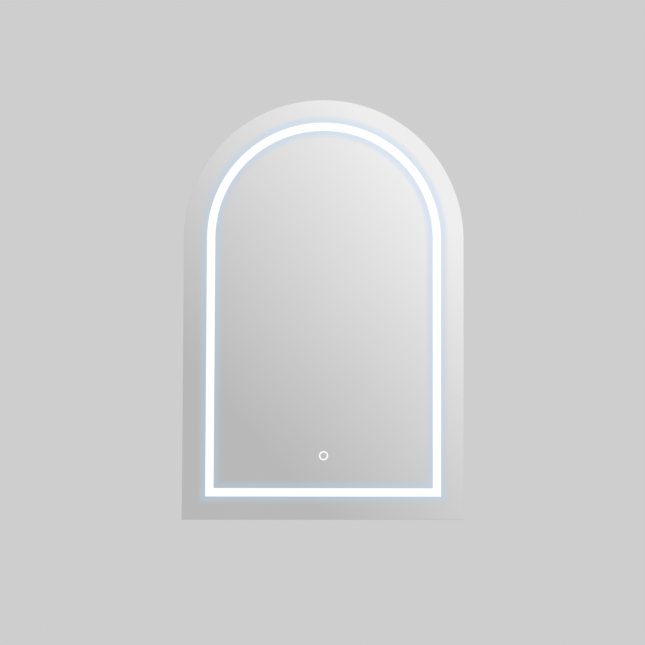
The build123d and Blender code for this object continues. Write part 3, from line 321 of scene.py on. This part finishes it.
# %% [markdown]
# ## Glass
#
# The inner mirrors are silvered glass. Their layer of silver does the work, so a smooth metal
# shader stands for glass and silver together, and its edge is too thin to tell apart. The
# shelves are seen through, so they need a true glass shader, with the pale green that iron in the
# glass gives, stronger where the eye looks along the plate.

# %% Silvered float glass, for the inner mirrors
# Silver under glass is a hard mirror, very slightly grey-green.
silvered = finish("silvered float glass", ("E1E4E3", "E7E9E8"), cloud_mm=300, grain_mm=40,
                  gloss=(0.010, 0.035), relief_mm=0.0, Metallic=1.0)

# %% Toughened clear glass, for the shelves
# Clear with a green cast, and a faint unevenness from the toughening oven.
GLASS_IOR = 1.52
clear = finish("toughened clear glass", ("E2F0EA", "EAF5F0"), cloud_mm=200, grain_mm=25,
               gloss=(0.0, 0.04), relief_mm=0.0, **{"Transmission Weight": 1.0, "IOR": GLASS_IOR})

# %% [markdown]
# ## Plastics, rubber and leads
#
# The driver, the terminal block and the catch are moulded in white ABS from spark-eroded moulds,
# which leave a fine even grain. The clips are nylon, the bushes and the gland are black rubber, and
# the leads have a drawn PVC sheath. All are plain dielectrics: they differ in depth and in grain.

# %% Moulded white ABS
# An even, fine spark grain gives a dry satin surface.
abs_white = finish("moulded white ABS", ("E1E1DE", "EAEAE7"), cloud_mm=6, grain_mm=0.8,
                   gloss=(0.38, 0.46), relief_mm=0.012)

# %% Moulded natural nylon
# Light goes a little way into it, so its edges look soft and waxy.
nylon = finish("moulded natural nylon", ("D9DBD7", "E6E7E4"), cloud_mm=3, grain_mm=1.5, gloss=(0.30, 0.40),
               relief_mm=0.005, **{"Subsurface Weight": 0.15, "Subsurface Scale": 2 * MM})

# %% Moulded black rubber
# Nearly black, with a dull bloom that greys it in patches.
rubber = finish("moulded black rubber", ("161617", "2A2A2B"), cloud_mm=4, grain_mm=1.0,
                gloss=(0.55, 0.70), relief_mm=0.018)

# %% Extruded white PVC sheath
# Drawn through a die, so its faint lines run along the lead's upright runs.
DRAWN_STRETCH = (1, 1, 6)
sheath = finish("extruded white PVC sheath", ("DCDCD8", "E8E8E5"), cloud_mm=8, grain_mm=1.5,
                gloss=(0.34, 0.42), relief_mm=0.005, stretch=DRAWN_STRETCH)

# %% Sintered ferrite magnet
# Pressed and fired powder: charcoal grey, dull, with fine specks.
ferrite = finish("sintered ferrite magnet", ("242426", "3C3C3F"), cloud_mm=1.0, grain_mm=0.8,
                 gloss=(0.48, 0.62), relief_mm=0.012, Metallic=0.2)

# %% Cast clear silicone
# Milky and half clear, which is how a small clear bumper looks on metal.
SILICONE_IOR = 1.41
silicone = finish("cast clear silicone", ("D6D6D2", "E4E4E1"), cloud_mm=2, grain_mm=1.2, gloss=(0.25, 0.35),
                  relief_mm=0.004, **{"Transmission Weight": 0.4, "IOR": SILICONE_IOR})

# %% Closed-cell foam tape
# Black and quite matte, with tiny open cells along its cut edge.
foam = finish("closed-cell acrylic foam tape", ("1A1A1B", "313133"), cloud_mm=1.2, grain_mm=0.8,
              gloss=(0.80, 0.90), relief_mm=0.06)

# %% [markdown]
# ## The parts that give light and warmth
#
# They sit between the glass and the door's tray: a strip of LEDs on a white board, an opal cover
# that evens its light, and a heating film that keeps the glass clear. In the closed cabinet they
# aren't seen, and they are finished because the door comes apart on a bench.

# %% Extruded opal acrylic, lit from behind
# White pigment scatters the light, so the cover glows evenly and shows no single LED.
LED_LIGHT = srgb("EAF3FF")
opal = finish("extruded opal acrylic", ("ECEEED", "F6F7F7"), cloud_mm=6, grain_mm=3, gloss=(0.36, 0.44),
              relief_mm=0.004, **{"Subsurface Weight": 0.3, "Subsurface Scale": 4 * MM,
                                  "Emission Color": LED_LIGHT, "Emission Strength": 0.6})

# %% White solder mask on a copper strip
# A smooth printed coat, slightly cream, satin rather than glossy.
board = finish("white solder-masked copper strip", ("E2E1D8", "EEEDE6"), cloud_mm=4, grain_mm=2,
               gloss=(0.30, 0.40), relief_mm=0.005)

# %% Phosphor resin of the LED chips
# A yellow powder in clear resin that looks yellow unlit and white when lit.
phosphor = finish("phosphor resin", ("EADD8C", "F6EDB4"), cloud_mm=1.0, grain_mm=0.8, gloss=(0.26, 0.34),
                  relief_mm=0.004, **{"Emission Color": LED_LIGHT, "Emission Strength": 1.0})

# %% Printed polyester heating film
# Grey tracks of conductive ink cross a straw-coloured film every 20 millimetres.
TRACK_PITCH_MM = 20
TRACK_EDGES = (0.60, 0.72)
WAVE_PER_CYCLE = math.tau / 20
heater = finish("printed polyester heating film", ("C6BFAF", "CCC5B5"), cloud_mm=60, grain_mm=3,
                gloss=(0.36, 0.44), relief_mm=0.005)
tree = heater.node_tree
place = add(tree, "TexCoord").outputs["Object"]
wave = add(tree, "TexWave", {"Vector": place, "Scale": WAVE_PER_CYCLE / (TRACK_PITCH_MM * MM)},
           bands_direction="Z").outputs["Fac"]
track = add(tree, "MapRange", {"Value": wave, "From Min": TRACK_EDGES[0],
                               "From Max": TRACK_EDGES[1]}).outputs[0]
shader = tree.nodes["Principled BSDF"]
film = shader.inputs["Base Color"].links[0].from_socket
printed = add(tree, "Mix", {0: track, 6: film, 7: srgb("6E6A62")}, data_type="RGBA").outputs[2]
tree.links.new(printed, shader.inputs["Base Color"])
print("materials", len(bpy.data.materials))

# %% Each CAD node takes the finish of its slot
FINISH_OF = {
    "satin_aluminium": anodised, "back_sheet": powder, "inner_mirror": silvered, "clear_glass": clear,
    "plated_steel": zinc, "hinge_steel": brushed, "clip_plastic": nylon, "white_plastic": abs_white,
    "black_rubber": rubber, "lead_sheath": sheath, "magnet_dark": ferrite, "soft_bumper": silicone,
    "foam_tape": foam, "opal_plastic": opal, "strip_board": board, "led_face": phosphor,
    "heater_film": heater, "front_mirror": silvered,
}
subparts = frame["record"]["subparts"]
for subpart in subparts:
    solid = nodes[subpart["node"]]
    solid.data.materials.clear()
    solid.data.materials.append(FINISH_OF[subpart["material_slot"]])
lead.data.materials.clear()
lead.data.materials.append(sheath)
print("dressed", len(subparts), "nodes in", len({s["material_slot"] for s in subparts}), "finishes")

# %% [markdown]
# ## The front mirror
#
# It is one plate of silvered float glass, 5 mm thick. The silvering and its paint are cut away
# along the band and the touch ring, and the glass is frosted there, so the light behind shows as
# an even white. The plate could be a curve with a thickness, but the band has to keep an even
# distance from the edge round the arch and the corners, which an inset of one face does by
# itself. So a disc is halved, its cut is drawn down to the square corners, and two insets give the
# band. The ring is two circles joined into the middle face.

# %% Sizes, as in the CAD model
GLASS_HALF = 0.305
ARCH_CENTRE = 0.152
GLASS_FOOT = -0.457
GLASS_FRONT, GLASS_BACK = -0.1252, -0.1202
ARRIS = 0.0005
BAND_OUTER, BAND_WIDTH = 0.050, 0.018
BAND_INNER = BAND_OUTER + BAND_WIDTH
RING_CENTRE, RING_RADIUS, RING_STROKE = -0.319, 0.010, 0.003
RING_HOLE = RING_RADIUS - RING_STROKE
DISC_POINTS, RING_POINTS = 192, 64
HAIR = 0.0002
print("band", BAND_OUTER, "to", round(BAND_INNER, 4), "m inside the edge")

# %% Choosing parts of a mesh by their place
MIDDLE_OF = {
    "edges": lambda edge: (edge.verts[0].co + edge.verts[1].co) / 2,
    "faces": lambda face: face.calc_center_median(),
}


def in_edit(piece):
    """The mesh that edit mode works on."""
    return bmesh.from_edit_mesh(piece.data)


def choose(piece, kind, test):
    """Selects the edges or faces that pass the test on their middle, and nothing else."""
    bpy.ops.mesh.select_mode(type={"edges": "EDGE", "faces": "FACE"}[kind])
    bpy.ops.mesh.select_all(action="DESELECT")
    work = in_edit(piece)
    for part in getattr(work, kind):
        if test(MIDDLE_OF[kind](part), part):
            part.select_set(True)
    work.select_flush(True)
    bmesh.update_edit_mesh(piece.data)


def inset_of(x, z):
    """How far a point of the plate lies inside its outline."""
    side = GLASS_HALF - (math.hypot(x, z - ARCH_CENTRE) if z > ARCH_CENTRE else abs(x))
    return min(side, z - GLASS_FOOT)


print("the ring's middle is", round(inset_of(0, RING_CENTRE), 3), "m above the foot")

# %% A disc, halved, and drawn down to the square corners
bpy.ops.object.select_all(action="DESELECT")
bpy.ops.mesh.primitive_circle_add(vertices=DISC_POINTS, radius=GLASS_HALF, fill_type="NGON",
                                  location=(0, GLASS_FRONT, ARCH_CENTRE), rotation=(math.pi / 2, 0, 0))
mirror = bpy.context.object
mirror.name = "front_mirror"
bpy.ops.object.transform_apply(location=True, rotation=True)
bpy.ops.object.mode_set(mode="EDIT")
bpy.ops.mesh.select_all(action="SELECT")
bpy.ops.mesh.bisect(plane_co=(0, 0, ARCH_CENTRE), plane_no=(0, 0, 1), use_fill=False, clear_inner=True)


def is_cut(middle, edge):
    """The long straight edge where the disc was halved."""
    return abs(middle.z - ARCH_CENTRE) < HAIR and edge.calc_length() > GLASS_HALF


choose(mirror, "edges", is_cut)
bpy.ops.mesh.extrude_edges_move(TRANSFORM_OT_translate={"value": (0, 0, GLASS_FOOT - ARCH_CENTRE)})
choose(mirror, "edges", is_cut)
bpy.ops.mesh.dissolve_edges(use_verts=False)
print("outline", len(in_edit(mirror).verts), "points", len(in_edit(mirror).faces), "face")

# %% The band, by insets of the one face
bpy.ops.mesh.select_mode(type="FACE")
bpy.ops.mesh.select_all(action="SELECT")
for width in (BAND_OUTER, BAND_WIDTH):
    bpy.ops.mesh.inset(thickness=width, depth=0, use_even_offset=True)
print("faces after the insets", len(in_edit(mirror).faces))

# %% The ring, by two circles set into the middle face
bpy.ops.mesh.delete(type="ONLY_FACE")
for radius in (RING_RADIUS, RING_HOLE):
    bpy.ops.mesh.select_all(action="DESELECT")
    bpy.ops.mesh.primitive_circle_add(vertices=RING_POINTS, radius=radius, fill_type="NOTHING",
                                      location=(0, GLASS_FRONT, RING_CENTRE), rotation=(math.pi / 2, 0, 0))


def on_circle(middle, radius):
    return abs(math.hypot(middle.x, middle.z - RING_CENTRE) - radius) < HAIR


def on_band_edge(middle):
    return abs(inset_of(middle.x, middle.z) - BAND_INNER) < HAIR


choose(mirror, "edges", lambda middle, edge: on_circle(middle, RING_HOLE))
bpy.ops.mesh.edge_face_add()
choose(mirror, "edges", lambda middle, edge: on_circle(middle, RING_RADIUS) or on_circle(middle, RING_HOLE))
bpy.ops.mesh.bridge_edge_loops()
choose(mirror, "edges", lambda middle, edge: on_circle(middle, RING_RADIUS) or on_band_edge(middle))
bpy.ops.mesh.fill(use_beauty=True)
bpy.ops.mesh.select_all(action="SELECT")
bpy.ops.mesh.normals_make_consistent(inside=False)
if sum(face.normal.y for face in in_edit(mirror).faces) > 0:
    bpy.ops.mesh.flip_normals()
print("plate", len(in_edit(mirror).faces), "faces, all facing the room")

# %% Each face gets the number of its surface
SILVER, LIT_BAND, LIT_RING, EDGE, PAINT = range(5)
bpy.ops.object.mode_set(mode="OBJECT")
for polygon in mirror.data.polygons:
    x, _, z = polygon.center
    if len(polygon.vertices) == 4 and BAND_OUTER < inset_of(x, z) < BAND_INNER:
        polygon.material_index = LIT_BAND
    elif len(polygon.vertices) == 4 and RING_HOLE < math.hypot(x, z - RING_CENTRE) < RING_RADIUS:
        polygon.material_index = LIT_RING
surfaces = [polygon.material_index for polygon in mirror.data.polygons]
print("band faces", surfaces.count(LIT_BAND), "ring faces", surfaces.count(LIT_RING))

# %% [markdown]
# ## The surfaces of the front mirror
#
# Beside the band the glass carries a little of its light sideways, which the eye sees as a bluish
# glow 19 mm wide. Real light through real glass would need many samples to give so even a glow.
# Instead the silver there reflects a little less and gives off a little blue, by the distance from
# the band, which is worked out from the place alone. On pale and dark reflections alike it then
# has the tint that the photograph shows. The lit glass gives off a white that just fills the
# picture's range, because the photograph shows the band as pure white.

# %% Silver with the glow beside the band
GLOW_FULL, GLOW_END = 0.005, 0.019
front = finish("silvered float glass, front", ("F5F5F5", "F7F7F7"), cloud_mm=300, grain_mm=40,
               gloss=(0.008, 0.020), relief_mm=0.0, **{"Metallic": 1.0, "Emission Strength": 1.0})
tree = front.node_tree
place = add(tree, "TexCoord").outputs["Object"]
axes = add(tree, "SeparateXYZ", {0: place}).outputs
above = add(tree, "Math", {0: axes["Z"], 1: ARCH_CENTRE}, operation="SUBTRACT").outputs[0]
above = add(tree, "Math", {0: above, 1: 0.0}, operation="MAXIMUM").outputs[0]
spoke = add(tree, "CombineXYZ", {"X": axes["X"], "Z": above}).outputs[0]
reach = add(tree, "VectorMath", {0: spoke}, operation="LENGTH").outputs["Value"]
from_side = add(tree, "Math", {0: GLASS_HALF, 1: reach}, operation="SUBTRACT").outputs[0]
from_foot = add(tree, "Math", {0: axes["Z"], 1: GLASS_FOOT}, operation="SUBTRACT").outputs[0]
inset = add(tree, "Math", {0: from_side, 1: from_foot}, operation="MINIMUM").outputs[0]
off_line = add(tree, "Math", {0: inset, 1: BAND_OUTER + BAND_WIDTH / 2}, operation="SUBTRACT").outputs[0]
off_line = add(tree, "Math", {0: off_line}, operation="ABSOLUTE").outputs[0]
glow = add(tree, "MapRange", {"Value": off_line, "From Min": BAND_WIDTH / 2 + GLOW_FULL,
                              "From Max": BAND_WIDTH / 2 + GLOW_END, "To Min": 1.0, "To Max": 0.0},
           interpolation_type="SMOOTHSTEP").outputs[0]
shader = tree.nodes["Principled BSDF"]
bare = shader.inputs["Base Color"].links[0].from_socket
DARK = srgb("000000")
VEILED, GLOWING = srgb("C9CBD9"), srgb("718385")
for socket, far, near in (("Base Color", bare, VEILED), ("Emission Color", DARK, GLOWING)):
    tint = add(tree, "Mix", {0: glow, 6: far, 7: near}, data_type="RGBA").outputs[2]
    tree.links.new(tint, shader.inputs[socket])
print("glow ends", GLOW_END, "m from the band;", len(tree.nodes), "nodes")

# %% Sandblasted glass over the light
# The blasted face scatters, so no source shows through it, only an even white.
lit = finish("sandblasted glass, lit", ("4C5156", "565B60"), cloud_mm=3, grain_mm=0.8, gloss=(0.50, 0.60),
             relief_mm=0.004, **{"Emission Color": srgb("FAFDFF"), "Emission Strength": 0.95})

# %% Polished edge, and the paint behind the silver
# A ground and polished edge is a glossy grey-green. The paint that guards the silver is flat grey.
polished = finish("polished glass edge", ("B3C8C1", "B9CDC7"), cloud_mm=40, grain_mm=3, gloss=(0.06, 0.10),
                  relief_mm=0.0, **{"IOR": GLASS_IOR, "Coat Weight": 0.5})
paint = finish("mirror backing paint", ("868C8C", "979D9D"), cloud_mm=5, grain_mm=1.5,
               gloss=(0.50, 0.60), relief_mm=0.01)
for material in (front, lit, lit, polished, paint):
    mirror.data.materials.append(material)

# %% Thickness, arris and paint
ARRIS_STEPS = 2
SQUARE_CORNER = math.radians(40)
FLAT_FACE = math.radians(12)
only(mirror)
thickness = mirror.modifiers.new("thickness", "SOLIDIFY")
thickness.thickness = GLASS_BACK - GLASS_FRONT
thickness.offset = -1
thickness.use_even_offset = True
thickness.material_offset_rim = EDGE
bpy.ops.object.modifier_apply(modifier=thickness.name)
arris = mirror.modifiers.new("arris", "BEVEL")
arris.width = ARRIS
arris.segments = ARRIS_STEPS
arris.limit_method = "ANGLE"
arris.angle_limit = SQUARE_CORNER
arris.material = EDGE
bpy.ops.object.modifier_apply(modifier=arris.name)
for polygon in mirror.data.polygons:
    if polygon.center.y > GLASS_BACK - HAIR and polygon.material_index == SILVER:
        polygon.material_index = PAINT
bpy.ops.object.shade_smooth_by_angle(angle=FLAT_FACE)
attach(mirror, "door")
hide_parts("mirror_glass")
print("front mirror", len(mirror.data.polygons), "faces", [round(v, 3) for v in mirror.dimensions])

# %% [markdown]
# ## Screws, rivets and bumpers
#
# The CAD model has them as plain bars. Here each gets its real head: a domed pan head with a cross
# recess, a flat countersunk head, a blind rivet's dome with the broken pin in its middle, and a
# soft button. They could be turned from a profile, but insets of a cylinder's end give the same
# dome with few faces. One of each is modelled upright at the origin, its recess cut by a boolean,
# and then copied to every place.

# %% Shaping one upright
FACING = 0.9
SAME_LEVEL = 0.00001
HEAD_POINTS = 24


def pick_end(piece, end):
    """Selects the highest face, for an end of 1, or the lowest, for -1."""
    def faces_end(face):
        return face.normal.z * end > FACING

    level = max(face.calc_center_median().z * end for face in in_edit(piece).faces if faces_end(face))
    choose(piece, "faces", lambda middle, face: faces_end(face) and abs(middle.z * end - level) < SAME_LEVEL)


def upright(name, radius_low, radius, height, steps):
    """A cylinder or cone on the ground plane, its top drawn in and up by each step."""
    bpy.ops.object.select_all(action="DESELECT")
    bpy.ops.mesh.primitive_cone_add(vertices=HEAD_POINTS, radius1=radius_low, radius2=radius, depth=height,
                                    location=(0, 0, height / 2))
    piece = bpy.context.object
    piece.name = name
    bpy.ops.object.transform_apply(location=True)
    bpy.ops.object.mode_set(mode="EDIT")
    pick_end(piece, 1)
    for draw_in, lift in steps:
        bpy.ops.mesh.inset(thickness=draw_in * MM, depth=lift * MM)
    bpy.ops.object.mode_set(mode="OBJECT")
    return piece


def add_shank(piece, step_in, length):
    """Draws the lowest face in by a step and pulls it down.

    The pull is an inset of no width. An extrusion would list its faces in a new order in each run.
    """
    bpy.ops.object.mode_set(mode="EDIT")
    pick_end(piece, -1)
    if step_in:
        bpy.ops.mesh.inset(thickness=step_in, depth=0)
    bpy.ops.mesh.inset(thickness=0, depth=length)
    bpy.ops.object.mode_set(mode="OBJECT")


def cut_cross(piece, top, span, slot, depth):
    """Cuts a cross recess into the top of a head."""
    for size in ((span, slot), (slot, span)):
        bpy.ops.object.select_all(action="DESELECT")
        bpy.ops.mesh.primitive_cube_add(size=1, location=(0, 0, top), scale=(*size, 2 * depth))
        blade = bpy.context.object
        bpy.ops.object.transform_apply(location=True, scale=True)
        only(piece)
        recess = piece.modifiers.new("recess", "BOOLEAN")
        recess.object = blade
        recess.operation = "DIFFERENCE"
        recess.solver = "EXACT"
        bpy.ops.object.modifier_apply(modifier=recess.name)
        bpy.data.objects.remove(blade)


print("heads have", HEAD_POINTS, "sides")

# %% Setting copies in their places
FRONT, BACK, UP = (0, -1, 0), (0, 1, 0), (0, 0, 1)
ROUND_HEAD = math.radians(40)


def set_at(master, name, places, material, body, node):
    """Copies the master to each place and direction, joins the copies and lets them stand for the node."""
    copies = []
    for place, direction in places:
        copy = master.copy()
        copy.data = master.data.copy()
        bpy.context.scene.collection.objects.link(copy)
        turn = Vector(direction).to_track_quat("Z", "Y").to_matrix().to_4x4()
        copy.data.transform(Matrix.Translation(place) @ turn)
        copies.append(copy)
    bpy.ops.object.select_all(action="DESELECT")
    for copy in copies:
        copy.select_set(True)
    bpy.context.view_layer.objects.active = copies[0]
    bpy.ops.object.join()
    joined = bpy.context.object
    joined.name = name
    bpy.ops.object.shade_smooth_by_angle(angle=ROUND_HEAD)
    joined.data.materials.clear()
    joined.data.materials.append(material)
    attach(joined, body)
    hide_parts(node)
    print(name, len(places), "copies,", len(joined.data.polygons), "faces")


# %% One pan-head screw with a cross recess
PAN_RADIUS, PAN_HEIGHT, SHANK_RADIUS = 2.8 * MM, 1.2 * MM, 1.45 * MM
PAN_DOME = [(0.5, 0.35), (0.7, 0.2), (0.7, 0.05)]
CROSS_SPAN, CROSS_SLOT = 2.9 * MM, 0.7 * MM
BRACKET_GRIP, COVER_GRIP, DRIVER_GRIP, CATCH_GRIP = 3.5 * MM, 2.7 * MM, 4.2 * MM, 9.5 * MM


def pan_screw(length):
    """A pan-head screw with its head's seat at the origin and its shank below."""
    straight = PAN_HEIGHT - sum(lift for _, lift in PAN_DOME) * MM
    screw = upright("pan_screw", PAN_RADIUS, PAN_RADIUS, straight, PAN_DOME)
    add_shank(screw, PAN_RADIUS - SHANK_RADIUS, length)
    cut_cross(screw, PAN_HEIGHT, CROSS_SPAN, CROSS_SLOT, CROSS_SLOT)
    return screw


# %% Where the pan-head screws go
BRACKET_DEPTHS = (-0.065, -0.035)
BRACKET_FLOOR = {"out": 0.2805, "level": -0.4435}
BRACKET_WALL = {"out": 0.2915, "level": -0.4325}
COVER_SPACING, COVER_LIP, COVER_LEVEL = 0.090, -0.0042, 0.3372
DRIVER_OUT, DRIVER_DEPTH, DRIVER_LEVEL = 0.081, -0.065, 0.3342
CATCH_OUT, CATCH_LEVELS = 0.28725, (0.049, 0.071)
BODY_FRONT = -0.100
bracket_places = []
for side in (-1, 1):
    for depth in BRACKET_DEPTHS:
        bracket_places.append(((side * BRACKET_FLOOR["out"], depth, BRACKET_FLOOR["level"]), UP))
        bracket_places.append(((side * BRACKET_WALL["out"], depth, BRACKET_WALL["level"]), (-side, 0, 0)))
cover_places = [((across * COVER_SPACING, COVER_LIP, COVER_LEVEL), FRONT) for across in (-1, 0, 1)]
driver_places = [((side * DRIVER_OUT, DRIVER_DEPTH, DRIVER_LEVEL), UP) for side in (-1, 1)]
catch_places = [((CATCH_OUT, BODY_FRONT, level), FRONT) for level in CATCH_LEVELS]
for name, places, length, node in (
    ("bracket_screw_heads", bracket_places, BRACKET_GRIP, "bracket_screws"),
    ("cover_screw_heads", cover_places, COVER_GRIP, "cover_screws"),
    ("driver_screw_heads", driver_places, DRIVER_GRIP, "driver_screws"),
    ("catch_screw_heads", catch_places, CATCH_GRIP, "catch_screws"),
):
    master = pan_screw(length)
    set_at(master, name, places, zinc, "cabinet", node)
    bpy.data.objects.remove(master)

# %% Countersunk hinge screws, flush with the leaf
FLAT_RADIUS, LEAF, FLAT_LENGTH = 2.3 * MM, 1.0 * MM, 4 * MM
FLAT_LAND = [(0.2, 0)]
FLAT_SPAN, FLAT_SLOT = 2.6 * MM, 0.6 * MM
HINGE_OUT, HINGE_FOOT, KNUCKLE = -0.28725, -0.430, 0.038
DOOR_BACK = -0.1022
SCREW_KNUCKLES = (0, 4, 8, 12)
BODY_STRIP, DOOR_STRIP = 0.5, 1.5
flat = upright("flat_screw", SHANK_RADIUS, FLAT_RADIUS, LEAF, FLAT_LAND)
add_shank(flat, 0, FLAT_LENGTH)
cut_cross(flat, LEAF, FLAT_SPAN, FLAT_SLOT, FLAT_SLOT)
for name, first, level, direction, body, node in (
    ("hinge_body_screw_heads", BODY_STRIP, BODY_FRONT, FRONT, "cabinet", "hinge_body_screws"),
    ("hinge_door_screw_heads", DOOR_STRIP, DOOR_BACK, BACK, "door", "hinge_door_screws"),
):
    places = [((HINGE_OUT, level, HINGE_FOOT + (first + knuckle) * KNUCKLE), direction)
              for knuckle in SCREW_KNUCKLES]
    set_at(flat, name, places, zinc, body, node)
bpy.data.objects.remove(flat)

# %% Places along the body's lip
LIP_RADIUS, LIP_FOOT = 0.288, -0.440
QUARTER = LIP_RADIUS * math.pi / 2
HALF_LIP = QUARTER + ARCH_CENTRE - LIP_FOOT


def along_lip(distance):
    """The point of the lip's middle line this far from its crown, to the right where positive."""
    side = math.copysign(1, distance)
    run = abs(distance)
    if run > QUARTER:
        return side * LIP_RADIUS, ARCH_CENTRE - (run - QUARTER)
    turn = run / LIP_RADIUS
    return side * LIP_RADIUS * math.sin(turn), ARCH_CENTRE + LIP_RADIUS * math.cos(turn)


print("half the lip is", round(HALF_LIP, 3), "m long")

# %% Blind rivets round the back panel, each with its broken pin sunk in the dome
RIVET_RADIUS, RIVET_RIM, RIVET_SHANK, RIVET_GRIP = 4.0 * MM, 0.25 * MM, 1.95 * MM, 3.0 * MM
RIVET_DOME = [(0.5, 0.4), (0.8, 0.3), (0.9, 0.15), (0.7, 0), (0.05, -0.5)]
RIVET_COUNT, PANEL_FACE = 9, -0.003
rivet = upright("rivet", RIVET_RADIUS, RIVET_RADIUS, RIVET_RIM, RIVET_DOME)
add_shank(rivet, RIVET_RADIUS - RIVET_SHANK, RIVET_GRIP)
rivet_lines = [along_lip((i - RIVET_COUNT // 2) * 2 * HALF_LIP / RIVET_COUNT) for i in range(RIVET_COUNT)]
set_at(rivet, "rivet_heads", [((x, PANEL_FACE, z), FRONT) for x, z in rivet_lines],
       zinc, "cabinet", "back_rivets")
bpy.data.objects.remove(rivet)

# %% Soft bumpers: clear silicone buttons with a rounded rim
BUTTON_RADIUS, BUTTON_RIM = 4.0 * MM, 1.2 * MM
BUTTON_DOME = [(0.35, 0.45), (0.6, 0.2), (1.0, 0.05)]
BUTTON_SHARES = (0.0, 0.40, 0.88)
button = upright("button", BUTTON_RADIUS, BUTTON_RADIUS, BUTTON_RIM, BUTTON_DOME)
button_lines = [along_lip(share * HALF_LIP) for share in BUTTON_SHARES]
set_at(button, "bumper_buttons", [((x, BODY_FRONT, z), FRONT) for x, z in button_lines],
       silicone, "cabinet", "door_bumpers")
bpy.data.objects.remove(button)
